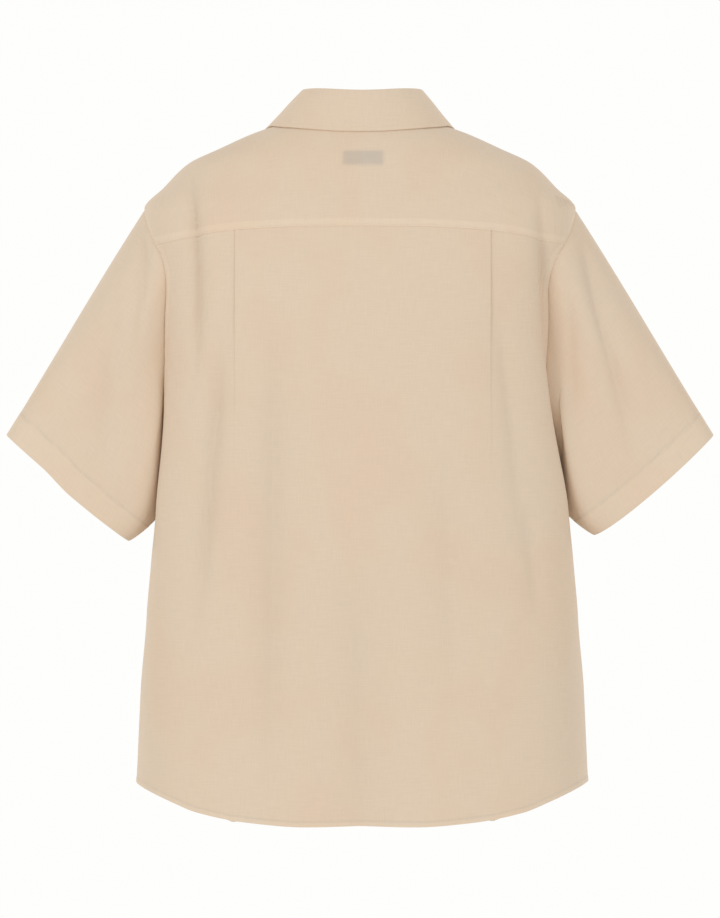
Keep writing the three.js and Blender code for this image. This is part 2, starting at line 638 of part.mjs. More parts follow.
// A wall corner of the back: on the form, or turned with a pleat. Beyond a pleat's edge the cloth
// lies one step deeper and rises to the form again over the settling distance.
function pleatCorner(column, z, thickness) {
  const { point, across, out } = formFrame(column.turn, z);
  const { step } = pleatSection(z);
  const edge = point.x > 0 ? PLEAT_EDGES.left : PLEAT_EDGES.right;
  const beyond = Math.abs(point.x) - Math.abs(edge);
  const plain = column.facing === 0 && column.into === 0;
  const settle = plain && beyond > 1 ? step * (1 - smooth(beyond / PLEAT_SETTLE)) : 0;
  const centre = point.clone().addScaledVector(across, column.along)
    .addScaledVector(out, -column.into - settle - WALL / 2);
  const facing = out.clone().multiplyScalar(Math.cos(column.facing))
    .addScaledVector(across, Math.sin(column.facing));
  return {
    outer: centre.clone().addScaledVector(facing, WALL / 2),
    inner: centre.clone().addScaledVector(facing, WALL / 2 - thickness),
  };
}

// A front: from the front yoke seam and the neckline to the hem, and from the side to just past
// the middle. The left one laps over the right one, which lies closer in near the middle.
const FRONT_SEAM_PARTS = YOKE_ROWS.map((v) => 1 - v).reverse();
const FRONT_NECK_COLUMNS = 6;
const FRONT_SHOULDER_REACH = 0.3;
const FRONT_TURN_LAP = (side, z) => turnAtX(-side * FRONT_LAP.half, z, 'front');

function front(side) {
  const seamShare = 0.5;
  const centreShare = 0.93;
  const neckTop = necklinePlace(-90)[1];
  const lapTop = FRONT_TURN_LAP(side, neckTop);
  const unwrap = (turn) => (side < 0 && turn > 0 ? turn - 360 : turn);
  const top = (u) => {
    if (u <= seamShare) {
      const [turn, z] = frontYokeSeam(side, 1 - u / seamShare);
      return [unwrap(turn), z];
    }
    if (u > centreShare) return [mix(-90, lapTop, (u - centreShare) / (1 - centreShare)), neckTop];
    const angle = mix(FRONT_SEAM_AT_NECK, -90, (u - seamShare) / (centreShare - seamShare));
    const [turn, z] = necklinePlace(angle);
    return [side > 0 ? turn : -180 - turn, z];
  };
  const lapBottom = linePlace(FRONT_HEM, FRONT_TURN_LAP(side, -700));
  const bottom = (u) => linePlace(FRONT_HEM, mix(side > 0 ? 0 : -180, lapBottom[0], u));
  const sideEdge = (v) => frontSide(side, v);
  const lapEdge = (v) => {
    const z = mix(neckTop, lapBottom[1], v);
    return [FRONT_TURN_LAP(side, z), z];
  };
  const place = formPatch([top, bottom, sideEdge, lapEdge], FRONT_SHOULDER_REACH);
  const rows = panelRows(UNDERARM - YOKE_FRONT_ROW);
  const neckParts = steps(FRONT_NECK_COLUMNS).slice(1).map((t) => mix(seamShare, centreShare, t));
  const us = [...FRONT_SEAM_PARTS.map((t) => t * seamShare), ...neckParts, 1];
  const grid = rows.map((v) => us.map((u) => {
    const here = place(u, v);
    const x = plainPoint(...here).x * side;
    const under = side < 0
      ? (WALL + FRONT_LAP.clearance) * smooth((FRONT_LAP.ease + FRONT_LAP.half - x) / FRONT_LAP.ease)
      : 0;
    return corner(here, { depth: under, thickness: panelThickness(v) });
  }));
  const ordered = side > 0 ? grid.map((row) => row.reverse()) : grid;
  openSeams(ordered, { hemmed: true });
  const name = side > 0 ? 'front_left' : 'front_right';
  return mesh(name, wallGeometry(ordered), FRONT_CLOTH);
}

// A sleeve: a tube from the armhole to the open cuff, with a turned hem that is double inside.
const SLEEVE_COLUMNS = ARMHOLE_ROWS * ARM_STEPS;
const leadX = tableCurve(SLEEVE_LEAD, 'row', 'x');
const leadY = tableCurve(SLEEVE_LEAD, 'row', 'y');
const leadZ = tableCurve(SLEEVE_LEAD, 'row', 'z');
const endX = tableCurve(SLEEVE_LEAD, 'row', 'endX');
const endY = tableCurve(SLEEVE_LEAD, 'row', 'endY');
const endZ = tableCurve(SLEEVE_LEAD, 'row', 'endZ');

function armholeShares() {
  const shares = [0];
  for (let i = 1; i <= SLEEVE_COLUMNS; i += 1) {
    const a = plainPoint(...armholePlace((i - 1) / ARM_STEPS, 1));
    const b = plainPoint(...armholePlace(i / ARM_STEPS, 1));
    shares.push(shares[i - 1] + a.distanceTo(b));
  }
  return shares;
}
const SHARES = armholeShares();

// How far round the cuff the cloth from an armhole row arrives: half a turn at the underarm.
function cuffTurn(row) {
  const place = clamp(row * ARM_STEPS, 0, SLEEVE_COLUMNS);
  const i = Math.min(Math.floor(place), SLEEVE_COLUMNS - 1);
  const walked = mix(SHARES[i], SHARES[i + 1], place - i);
  const half = SHARES[UNDERARM * ARM_STEPS];
  const whole = SHARES[SLEEVE_COLUMNS];
  if (walked <= half) return (Math.PI * walked) / half;
  return Math.PI * (1 + (walked - half) / (whole - half));
}

// The point of the cuff's edge at an angle round it, where the cloth arrives in a given direction.
function cuffPoint(side, angle, arrive) {
  const name = side > 0 ? 'left' : 'right';
  const part = (1 - Math.cos(angle)) / 2;
  const underarm = part ** CUFF_EDGE.liftPower;
  const bow = CUFF_EDGE.bow * smooth((part - CUFF_EDGE.start[name]) / CUFF_EDGE.rise) * Math.sin(angle) ** 2;
  const reach = new THREE.Vector3(SLEEVE.cuffReach.x, 0, SLEEVE.cuffReach.z);
  const depth = Math.sign(Math.sin(angle)) * Math.abs(Math.sin(angle)) ** SLEEVE.cuffFlatness;
  return new THREE.Vector3(SLEEVE.cuffCentre.x, SLEEVE.cuffCentre.y, SLEEVE.cuffCentre.z)
    .addScaledVector(reach, Math.cos(angle))
    .addScaledVector(reach.normalize(), CUFF_EDGE.drawIn[name] * underarm)
    .add(new THREE.Vector3(0, SLEEVE.cuffHalfDepth * depth, 0))
    .addScaledVector(arrive, bow - CUFF_EDGE.lift[name] * underarm);
}

// How far X moves towards the body at a sleeve point: the underarm lies close along the body's side,
// and comes free of it only towards the cuff.
function pressIn(row, v, point) {
  const underarm = smooth(((1 - Math.cos(cuffTurn(row))) / 2 - PRESS.from) / PRESS.rise);
  if (underarm === 0) return 0;
  const x = point.x - sectionShift(point.z);
  const gap = Math.hypot(x, point.y) - formRadius(Math.atan2(point.y, x), point.z);
  const near = clamp((gap - PRESS.gap) / PRESS.reach, 0, 1);
  const free = clamp((1 - v) / PRESS.free, 0, 1);
  return PRESS.share * PRESS.reach * near * (1 - near) * underarm * free * (1.5 - 0.5 * free ** 2);
}

// The sleeve's edge lies half a seam gap inside the armhole's line, towards the armhole's middle, and
// at the underarm, where the sleeve turns down over the panels, a little outside them.
const UNDERARM_RISE = 0.8;
const SEAM_STEP = 0.02;
const ARMHOLE_MIDDLE = -215;

function sleeveLine(side, row) {
  const behind = row <= UNDERARM;
  const mirrorRow = behind ? row : ARMHOLE_ROWS - row;
  const place = armholePlace(row, side);
  const { point: start, out } = formFrame(...place);
  const lead = new THREE.Vector3(leadX(mirrorRow), leadY(mirrorRow) * (behind ? 1 : -1), leadZ(mirrorRow));
  const arrive = new THREE.Vector3(endX(mirrorRow), 0, endZ(mirrorRow));
  const angle = cuffTurn(row);
  const end = cuffPoint(side, angle, arrive);
  arrive.y = endY(mirrorRow) * (behind ? 1 : -1);
  for (const way of [lead, arrive, end]) way.x *= side;
  const before = plainPoint(...armholePlace(row - SEAM_STEP, side));
  const after = plainPoint(...armholePlace(row + SEAM_STEP, side));
  const slide = after.sub(before).cross(out).normalize();
  const middle = new THREE.Vector3(start.x, 0, ARMHOLE_MIDDLE);
  if (slide.dot(middle.sub(start)) < 0) slide.negate();
  start.addScaledVector(slide, SEAM_GAP / 2);
  start.addScaledVector(out, UNDERARM_RISE * smooth(((1 - Math.cos(angle)) / 2 - PRESS.from) / PRESS.rise));
  const length = start.distanceTo(end);
  lead.normalize().multiplyScalar(length);
  arrive.normalize().multiplyScalar(length);
  return { start, end, lead, arrive, length, out };
}

const SLEEVE_LINES = new Map();

function sleevePoint(side, row, v) {
  const wrapped = ((row % ARMHOLE_ROWS) + ARMHOLE_ROWS) % ARMHOLE_ROWS;
  const key = `${side} ${wrapped.toFixed(4)}`;
  if (!SLEEVE_LINES.has(key)) SLEEVE_LINES.set(key, sleeveLine(side, wrapped));
  const { start, end, lead, arrive } = SLEEVE_LINES.get(key);
  const a = 2 * v ** 3 - 3 * v ** 2 + 1;
  const b = v ** 3 - 2 * v ** 2 + v;
  const c = -2 * v ** 3 + 3 * v ** 2;
  const d = v ** 3 - v ** 2;
  const point = start.clone().multiplyScalar(a).addScaledVector(lead, b)
    .addScaledVector(end, c).addScaledVector(arrive, d);
  point.x -= side * pressIn(wrapped, v, point);
  return point;
}

function foldedSleevePoint(side, row, v) {
  const point = sleevePoint(side, row, v);
  const face = Math.sin(cuffTurn(((row % ARMHOLE_ROWS) + ARMHOLE_ROWS) % ARMHOLE_ROWS)) >= 0 ? 'back' : 'front';
  let depth = 0;
  for (const fold of SLEEVE_FOLDS) {
    if (fold.side === side && fold.face === face) depth += foldDepth(fold, Math.abs(point.x), point.z);
  }
  if (depth === 0) return point;
  const plain = (r, w) => sleevePoint(side, r, w);
  const { out } = outwardOf(plain, row, v, 0.05, -0.01);
  const facing = smooth((Math.abs(out.y) - 0.25) / 0.5) * smooth(v / 0.08);
  return point.addScaledVector(out, -depth * facing * side);
}

function sleeve(side) {
  const rows = Array.from({ length: SLEEVE_COLUMNS }, (_, i) => i / ARM_STEPS);
  const lines = rows.map((row) => sleeveLine(side, row));
  const surface = (row, v) => foldedSleevePoint(side, row, v);
  const ring = (vAt, thickness, first = false) => rows.map((row, i) => {
    const v = vAt(lines[i].length);
    const point = surface(row, v);
    const { out } = outwardOf(surface, row, Math.max(v, 0.02), 0.06, v > 0.98 ? -0.012 : -0.02);
    out.multiplyScalar(side);
    if (first) out.lerp(lines[i].out, smooth((out.dot(lines[i].out) - 0.2) / 0.5)).normalize();
    return { outer: point, inner: point.clone().addScaledVector(out, -thickness) };
  });
  const hemAt = (length) => 1 - SLEEVE_HEM.depth / length;
  const plainRings = steps(SLEEVE.rings).map((t, j) => ring((length) => t * (hemAt(length) - 0.012), WALL, j === 0));
  const hemRings = [0, 0.5, 1].map((t) => ring((length) => mix(hemAt(length), 1, t), SLEEVE_HEM.thickness));
  const geometry = wallGeometry([...plainRings, ...hemRings], { tube: true, mirrored: side < 0 });
  return mesh(side > 0 ? 'sleeve_left' : 'sleeve_right', geometry, SLEEVE_CLOTH);
}

const collarColumn = Object.fromEntries(
  ['stand', 'lean', 'shift', 'edgeAngle', 'edgeZ', 'lift'].map((name) => [name, tableCurve(COLLAR, 'angle', name)]),
);

// The collar's columns stand where those of the yoke and fronts end on the neckline: plan angles
// from the centre back, and the side they are on.
const STAND_END = -90;
const FALL_END = -86.5;
const BACK_ANGLES = steps(YOKE_SPANS / 2).map((t) => mix(90, FRONT_SEAM_AT_NECK, t));
const FRONT_ANGLES = steps(FRONT_NECK_COLUMNS).slice(1, -1).map((t) => mix(FRONT_SEAM_AT_NECK, -90, t));
const collarColumns = (endAngle) => {
  const half = [...BACK_ANGLES, ...FRONT_ANGLES, endAngle];
  return [
    ...half.map((angle) => ({ angle, side: 1 })).reverse(),
    ...half.slice(1).map((angle) => ({ angle, side: -1 })),
  ];
};

// The stand's section at a plan angle: its foot on the neckline and its head, where the collar
// folds over.
function standSection({ angle, side }) {
  const foot = plainPoint(...necklinePlace(angle));
  const inward = new THREE.Vector3(-foot.x, -foot.y, 0).normalize();
  foot.z += STAND_CLEARANCE;
  const head = foot.clone().addScaledVector(inward, collarColumn.lean(angle));
  head.z += collarColumn.stand(angle);
  for (const way of [foot, head, inward]) way.x *= side;
  head.x += collarColumn.shift(angle);
  return { foot, head, inward };
}

function standCorner({ foot, head, inward }, t) {
  const outer = head.clone().lerp(foot, t).addScaledVector(inward, -STAND_BOW * Math.sin(Math.PI * t));
  return { outer, inner: outer.clone().addScaledVector(inward, COLLAR_WALL) };
}

function collarStand() {
  const sections = collarColumns(STAND_END).map((column) => {
    const section = standSection(column);
    const towardsEnd = (-column.angle - 45) / 35;
    const sink = column.side < 0 ? STAND_UNDERLAP_STEP * smooth(towardsEnd) : 0;
    section.foot.addScaledVector(section.inward, sink);
    section.head.addScaledVector(section.inward, sink);
    return section;
  });
  const lapOf = (section, x) => ({
    foot: section.foot.clone().setX(x),
    head: section.head.clone().setX(x),
    inward: section.inward,
  });
  const all = [
    lapOf(sections[0], -STAND_OVERLAP), ...sections,
    lapOf(sections[sections.length - 1], STAND_OVERLAP),
  ];
  const grid = steps(2).map((t) => all.map((section) => standCorner(section, t)));
  return mesh('collar_stand', wallGeometry(grid), COLLAR_CLOTH);
}

function fallEdge({ angle, side }) {
  const plan = radians(collarColumn.edgeAngle(angle));
  const z = collarColumn.edgeZ(angle);
  const { point, out } = formFrame(turnOfAngle(plan), z);
  point.addScaledVector(out, collarColumn.lift(angle));
  point.x *= side;
  return point;
}

// The fall: folded over the head of the stand and laid down over the yoke and fronts, to its
// outer edge and its two points.
function collarFall() {
  const corners = (column) => {
    const { head, inward } = standSection(column);
    const rolled = FALL_ROLL.map(({ out, up, facing }) => {
      const outer = head.clone().addScaledVector(inward, -out);
      outer.z += up;
      const faces = inward.clone().multiplyScalar(-Math.sin(radians(facing)));
      faces.z = Math.cos(radians(facing));
      return { outer, inner: outer.clone().addScaledVector(faces, -COLLAR_WALL) };
    });
    const start = rolled[rolled.length - 1].outer;
    const edge = fallEdge(column);
    const drop = edge.clone().sub(start);
    const along = new THREE.Vector3(-inward.y, inward.x, 0);
    const faces = drop.cross(along).normalize();
    if (faces.z < 0) faces.negate();
    const dropped = FALL_DROP.map(({ part, bow }) => {
      const outer = start.clone().lerp(edge, part).addScaledVector(faces, bow);
      return { outer, inner: outer.clone().addScaledVector(faces, -COLLAR_WALL) };
    });
    return [...rolled, ...dropped];
  };
  const sections = collarColumns(FALL_END).map(corners);
  const grid = sections[0].map((_, j) => sections.map((section) => section[j]));
  return mesh('collar_fall', wallGeometry(grid), COLLAR_CLOTH);
}

// A button: a flat disc with a raised rim, sewn on the left front in the middle.
function buttonGeometry() {
  const { radius, thickness, rim } = BUTTON;
  const profile = [
    [0, 0], [radius * 0.86, 0], [radius, thickness * 0.4], [radius * 0.92, thickness],
    [radius * 0.7, thickness], [radius * 0.6, thickness - rim], [0, thickness - rim],
  ].map(([r, h]) => new THREE.Vector2(r, h));
  const geometry = new THREE.LatheGeometry(profile, BUTTON.sides);
  geometry.deleteAttribute('normal');
  geometry.deleteAttribute('uv');
  return mergeVertices(geometry, 1e-4);
}

function button(name, point, out) {
  const piece = mesh(name, buttonGeometry(), BUTTON_RESIN);
  piece.position.copy(point).addScaledVector(out, BUTTON.seat);
  piece.quaternion.setFromUnitVectors(new THREE.Vector3(0, 1, 0), out);
  return piece;
}

function buttons() {
  const row = Array.from({ length: FRONT_BUTTONS.count }, (_, i) => {
    const z = FRONT_BUTTONS.top - i * FRONT_BUTTONS.pitch;
    const { point, out } = formFrame(turnAtX(0, z, 'front'), z);
    return button(`button_${i + 1}`, point, out);
  });
  const section = standSection({ angle: STAND_END, side: 1 });
  const down = (section.head.z - STAND_BUTTON_Z) / (section.head.z - section.foot.z);
  const point = standCorner(section, down).outer.setX(0);
  const out = new THREE.Vector3(0, -1, 0);
  return [button('button_collar', point, out), ...row];
}

// The blank woven label, sewn inside the yoke at the centre back.
function label() {
  const { centre, halfWidth, top, bottom, thickness } = LABEL;
  const grid = steps(2).map((v) => steps(6).map((u) => {
    const z = mix(top, bottom, v);
    const turn = turnAtX(centre + mix(halfWidth, -halfWidth, u), z, 'back');
    return corner([turn, z], { depth: WALL + LABEL.clearance, thickness });
  }));
  return mesh('label', wallGeometry(grid), LABEL_CLOTH);
}

const shirt = new THREE.Group();
shirt.add(yoke(), back(), front(1), front(-1), sleeve(1), sleeve(-1));
shirt.add(collarStand(), collarFall(), label(), ...buttons());

export default shirt;
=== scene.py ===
import bpy
import numpy as np
from mathutils import Matrix, Vector


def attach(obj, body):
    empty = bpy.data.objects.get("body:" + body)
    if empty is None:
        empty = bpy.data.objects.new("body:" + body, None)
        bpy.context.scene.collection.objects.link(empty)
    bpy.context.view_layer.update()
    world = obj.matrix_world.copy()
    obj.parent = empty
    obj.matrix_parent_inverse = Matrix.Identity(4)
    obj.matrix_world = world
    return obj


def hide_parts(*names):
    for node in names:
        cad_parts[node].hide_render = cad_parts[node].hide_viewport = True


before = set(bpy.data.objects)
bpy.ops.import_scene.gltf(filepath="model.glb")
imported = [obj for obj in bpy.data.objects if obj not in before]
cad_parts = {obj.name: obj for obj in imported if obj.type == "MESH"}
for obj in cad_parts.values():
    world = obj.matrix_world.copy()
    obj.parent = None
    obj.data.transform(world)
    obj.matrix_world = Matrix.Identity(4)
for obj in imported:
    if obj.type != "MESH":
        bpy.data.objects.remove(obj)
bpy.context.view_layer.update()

# The yoke: one piece of plain-woven cloth over both shoulders. Its folded lower edge is lapped over
# the back and the fronts and sewn down close to the edge, over a seam allowance 8 mm deep.
# Tables are in millimetres. The body form is named by turn (degrees: 0 left side, 90 centre back,
# 180 right side, -90 centre front) and height z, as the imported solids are.
MM = 0.001


def table(columns, *rows):
    return dict(zip(columns.split(), np.array(rows, float).T))


def mix(a, b, t):
    return a + (b - a) * t


def smooth(t):
    s = np.clip(t, 0, 1)
    return s * s * (3 - 2 * s)


def unit(v):
    return v / np.maximum(np.linalg.norm(v, axis=-1, keepdims=True), 1e-9)


def curve(rows, at, value):
    """A smooth function through the rows of a table that never overshoots between two rows."""
    x, y = rows[at], rows[value]
    if x[0] > x[-1]:
        x, y = x[::-1], y[::-1]
    slope = np.diff(y) / np.diff(x)
    both = slope[:-1] * slope[1:]
    inner = np.where(both > 0, 2 * both / np.where(both > 0, slope[:-1] + slope[1:], 1), 0)
    lean = np.concatenate([slope[:1], inner, slope[-1:]])

    def value_at(place):
        place = np.clip(place, x[0], x[-1])
        i = np.clip(np.searchsorted(x, place) - 1, 0, len(x) - 2)
        width = x[i + 1] - x[i]
        t = (place - x[i]) / width
        ease = t * t * (3 - 2 * t)
        start = t * (1 - t) ** 2 * width * lean[i]
        finish = t * t * (t - 1) * width * lean[i + 1]
        return mix(y[i], y[i + 1], ease) + start + finish
    return value_at


def curves(rows, at, values):
    return [curve(rows, at, value) for value in values.split()]


def spline(points, t, closed=False):
    """Points of a Catmull-Rom curve through control points, at parts t from 0 to 1."""
    count = len(points)
    place = np.asarray(t, float) * (count if closed else count - 1)
    i = np.floor(place).astype(int)
    if not closed:
        i = np.clip(i, 0, count - 2)
    wide = place.shape + (1,) * (points.ndim - 1)
    w = (place - i).reshape(wide)

    def control(k):
        if closed:
            return points[k % count]
        inside = points[np.clip(k, 0, count - 1)]
        before = 2 * points[0] - points[1]
        after = 2 * points[-1] - points[-2]
        late, early = (k >= count).reshape(wide), (k < 0).reshape(wide)
        return np.where(early, before, np.where(late, after, inside))
    a, b, c, d = (control(i + k) for k in (-1, 0, 1, 2))
    m, n = (c - a) / 2, (d - b) / 2
    return b + m * w + (3 * (c - b) - 2 * m - n) * w ** 2 + (2 * (b - c) + m + n) * w ** 3


SECTIONS = table(
    "z half back front square tuck shift",
    (14, 44, 36, 6, 2.1, 0, 0), (4, 64, 52, 14, 2.1, 0, 0), (-3, 79, 60, 22, 2.1, 0, 0),
    (-16, 114.5, 74, 32, 2.15, 0, 0), (-31, 147.5, 84, 42, 2.2, 0, 0), (-47, 180.5, 91, 52, 2.25, 0, 0),
    (-72, 206, 98, 66, 2.3, 0, 0), (-94, 226, 104, 82, 2.35, 0, 0), (-120, 225, 108, 95, 2.45, 0, 0),
    (-150, 218, 112, 106, 2.5, 0, 0), (-189, 212.6, 116, 115, 2.5, 0, 0),
    (-232, 212, 118, 120, 2.45, 5, -0.4), (-290, 216.4, 120, 122, 2.45, 20, -1.2),
    (-346, 223.4, 120, 123, 2.45, 34, -2.0), (-407, 228.6, 119, 123, 2.45, 28, -2.4),
    (-460, 229.2, 118, 122, 2.5, 14, -2.4), (-520, 228.4, 116, 121, 2.6, 3, -2.4),
    (-600, 232.4, 117, 122, 2.5, 0, -2.4), (-760, 239.4, 121, 126, 2.4, 0, -2.4),
)
TUCK_SPREAD = 25
PLAN_FLATNESS = 0.5
section_half, section_back, section_front, section_square, section_tuck, section_shift = curves(
    SECTIONS, "z", "half back front square tuck shift")


def form_radius(angle, z):
    c, s = np.abs(np.cos(angle)), np.sin(angle)
    depth = np.where(s >= 0, section_back(z), section_front(z))
    n = section_square(z)
    radius = ((c / section_half(z)) ** n + (np.abs(s) / depth) ** n) ** (-1 / n)
    return radius - section_tuck(z) * np.exp(-((radius * s / TUCK_SPREAD) ** 2) / 2)


def turn_of_angle(angle):
    return np.degrees(np.arctan2(np.sin(angle) / PLAN_FLATNESS, np.cos(angle)))


def plain_point(turn, z):
    t = np.radians(turn)
    angle = np.arctan2(PLAN_FLATNESS * np.sin(t), np.cos(t))
    radius = form_radius(angle, z)
    x = radius * np.cos(angle) + section_shift(z)
    return np.stack([x, radius * np.sin(angle), z + 0 * radius], -1)


# Folds down the body: the face they are on (1 back, -1 front), where they start and end, their X at
# the top, middle and end, half their width and their depth.
BODY_FOLDS = table(
    "face top end x0 x1 x2 width depth",
    (1, -60, -430, -185, -202, -224, 6, 12), (1, -185, -480, -140, -158, -170, 10, 5),
    (1, -390, -540, -172, -178, -187, 7, 4), (1, -40, -300, 178, 169, 174, 5.5, 8.5),
    (1, -205, -580, 143, 156, 177, 8, 8.5), (1, -170, -780, 88, 90, 92, 13, 7),
    (1, -430, -850, 4, -2, -3, 22, 5), (1, -330, -660, -84, -92, -100, 16, 3),
    (-1, -90, -340, -176, -184, -194, 13, 7), (-1, -80, -360, 170, 179, 192, 13, 6),
    (-1, -200, -520, 128, 148, 168, 13, 5), (-1, -230, -560, -118, -134, -160, 13, 5),
    (-1, -330, -820, 72, 80, 88, 19, 3.5), (-1, -300, -800, -66, -70, -84, 18, 4),
)
FOLD_SHADE = 0.03


def fold_depth(folds, k, x, z):
    """How far fold k moves the cloth inwards at X and z: full depth along its line, none outside."""
    top, end = folds["top"][k], folds["end"][k]
    x0, x1, x2 = (folds[name][k] for name in ("x0", "x1", "x2"))
    along = (z - top) / (end - top)
    line = 2 * (along - 0.5) * (along - 1) * x0 - 4 * along * (along - 1) * x1
    line = line + 2 * along * (along - 0.5) * x2
    off = (x - line) / folds["width"][k]
    fade = smooth(along / 0.3) * smooth((1 - along) / 0.45)
    return folds["depth"][k] * fade * np.exp(0.3 - np.sqrt(off ** 2 + 0.09))


def folds_at(folds, chosen, x, z):
    """How deep the chosen folds are together at X and z."""
    return sum((fold_depth(folds, k, x, z) for k in np.nonzero(chosen)[0]), 0 * x)


def outward(point_at, a, b, step_a, step_b):
    along_a = point_at(a + step_a, b) - point_at(a - step_a, b)
    along_b = point_at(a, b + step_b) - point_at(a, b - step_b)
    return unit(along_a), unit(np.cross(along_a, along_b))


def form_point(turn, z):
    point = plain_point(turn, z)
    back = np.sin(np.radians(turn)) >= 0
    behind, before = (
        folds_at(BODY_FOLDS, BODY_FOLDS["face"] == face, point[..., 0], z) for face in (1, -1))
    depth = np.where(back, behind, before)
    facing = smooth((np.abs(point[..., 1]) - 8) / 30)
    _, out = outward(plain_point, turn, z, 0.4, 0.6)
    return point - out * (depth * facing)[..., None]


def form_frame(turn, z):
    across, out = outward(form_point, turn, z, 0.5, 0.8)
    return form_point(turn, z), across, out


def solve(measure, value, low, high):
    """The turn between two limits where a measure of the form reaches a value."""
    low, high = low + 0 * value, high + 0 * value
    rising = measure(high) > measure(low)
    for _ in range(34):
        middle = (low + high) / 2
        ahead = (measure(middle) < value) == rising
        low, high = np.where(ahead, middle, low), np.where(ahead, high, middle)
    return (low + high) / 2


def turn_at_x(x, z, face):
    low, high = (12, 168) if face > 0 else (-168, -12)
    return solve(lambda turn: plain_point(turn, z)[..., 0], x + 0 * z, low, high)


def turn_at_y(y, z):
    high = np.where(y >= 0, 80, -80)
    return solve(lambda turn: plain_point(turn, z)[..., 1], y + 0 * z, 0, high)


def place(turn, z):
    return np.stack(np.broadcast_arrays(turn, z), -1)


def apart(places):
    return np.moveaxis(places, -1, 0)


# One armhole on the form, from the shoulder tip down its back edge to the underarm: height and
# distance from the shoulder line, behind and before it.
ARMHOLE = table(
    "z behind before",
    (-94.5, 0, 0), (-108, 25, 24), (-134, 46, 44), (-160, 54, 56), (-192, 51, 54),
    (-236, 43, 45), (-296, 38, 38), (-350, 25, 25), (-366, 0, 0),
)
UNDERARM = 8
ROUND = 2 * UNDERARM
ARMHOLE_LOOP = np.concatenate([
    np.stack([ARMHOLE["behind"], ARMHOLE["z"]], -1),
    np.stack([-ARMHOLE["before"], ARMHOLE["z"]], -1)[-2:0:-1],
])
NECK = {"half_width": 73, "back": 60, "front": 66}


def armhole_place(row, side):
    flat = spline(ARMHOLE_LOOP, np.mod(row, ROUND) / ROUND, closed=True)
    turn = turn_at_y(flat[..., 0], flat[..., 1])
    return place(turn if side > 0 else 180 - turn, flat[..., 1])


def neckline_place(degrees):
    angle = np.radians(degrees)
    depth = np.where(np.sin(angle) >= 0, NECK["back"], NECK["front"])
    x, y = NECK["half_width"] * np.cos(angle), depth * np.sin(angle)
    plan, reach = np.arctan2(y, x), np.hypot(x, y)
    z = solve(lambda height: form_radius(plan, height), reach, -100, 12)
    return place(turn_of_angle(plan), z)


def line_place(rows, turn):
    """A seam or hem line given by its height over X."""
    height_at = curve(rows, "x", "z")
    z = rows["z"][0] + 0 * turn
    for _ in range(5):
        z = height_at(np.abs(plain_point(turn, z)[..., 0]))
    return place(turn, z)


def blend_edges(edges, u, v):
    """Points between four edges, each a function from 0..1: top, bottom, left and right."""
    top, bottom, left, right = edges
    start, end = np.zeros(1), np.ones(1)
    un, vn = u[..., None], v[..., None]
    straight = mix(mix(left(start), right(start), un), mix(left(end), right(end), un), vn)
    return mix(top(u), bottom(u), vn) + mix(left(v), right(v), un) - straight


def nearest_place(point, guess):
    """The place on the form that is nearest to a point, found from a place close by."""
    turn, z = guess[..., 0], guess[..., 1]
    for _ in range(12):
        here = plain_point(turn, z)
        away = point - here
        per_turn = (plain_point(turn + 0.1, z) - here) / 0.1
        per_z = (plain_point(turn, z + 0.1) - here) / 0.1
        a, b, c = (np.sum(p * q, -1) for p, q in
                   ((per_turn, per_turn), (per_turn, per_z), (per_z, per_z)))
        p, q = np.sum(away * per_turn, -1), np.sum(away * per_z, -1)
        det = a * c - b * b
        turn = turn + np.clip((c * p - b * q) / det, -6, 6)
        z = z + np.clip((a * q - b * p) / det, -25, 25)
    return place(turn, z)


def form_patch(edges, reach, u, v):
    """A patch of the form between four edges, laid out in space down to the reach."""
    even = blend_edges(edges, u, v)

    def in_space(edge):
        return lambda t: plain_point(*apart(edge(t)))
    points = blend_edges([in_space(edge) for edge in edges], u, v)
    share = smooth((reach - v) / (0.5 * reach))[..., None]
    inside = ((u > 0) & (u < 1) & (v > 0) & (v < 1))[..., None]
    return np.where(inside & (share > 0), mix(even, nearest_place(points, even), share), even)


def graded(length, coarse, fine=0.9, band=10, end=True):
    """Parts from 0 to 1 along a length, in fine steps near its seams and coarse ones between."""
    x = np.linspace(0, length, 4001)
    near = np.minimum(x, length - x) if end else x
    size = fine + (coarse - fine) * smooth((near - band) / (2.5 * band))
    count = np.concatenate([[0], np.cumsum(np.diff(x) / size[1:])])
    return np.interp(np.linspace(0, count[-1], round(count[-1]) + 1), count, x) / length


def walked(points, axis):
    """Distance along a grid of points from its first row or column."""
    steps = np.linalg.norm(np.diff(points, axis=axis), axis=-1)
    return np.insert(np.cumsum(steps, axis=axis), 0, 0, axis=axis)


def from_edges(points):
    """Distances of each grid point from the left, right, top and bottom edge along the cloth."""
    across, down = walked(points, 1), walked(points, 0)
    return across, across[:, -1:] - across, down, down[-1:] - down


def fading(distance, reach):
    return np.exp(-((distance / reach) ** 2))


def line_hit(distance, at, width):
    return np.exp(-(((distance - at) / width) ** 2) / 2)


def strip(distance, width, past, blur):
    """1 in a strip of this width along an edge and 0 beyond it, with a soft end a little past it."""
    return smooth((width + past - distance) / blur)


WAVES = (6, 8.5, 12, 19)


def wander(s, seed):
    """A soft irregular wave along a length in millimetres, within about -1 and 1."""
    rng = np.random.default_rng(seed)
    total = 0
    for length in WAVES:
        total = total + np.sin(s * 2 * np.pi / (length * rng.uniform(0.85, 1.15)) + rng.uniform(0, 6.28))
    return total / len(WAVES)


def pucker(s, distance, seed, height, reach=7):
    """The small pulls of a sewn seam: ripples across it that fade away from it."""
    return height * wander(s, seed) * fading(distance, reach)


def feed(tree, socket, value):
    """Link a socket to another one, or give it a plain value."""
    if hasattr(value, "is_linked"):
        tree.links.new(value, socket)
    else:
        socket.default_value = value


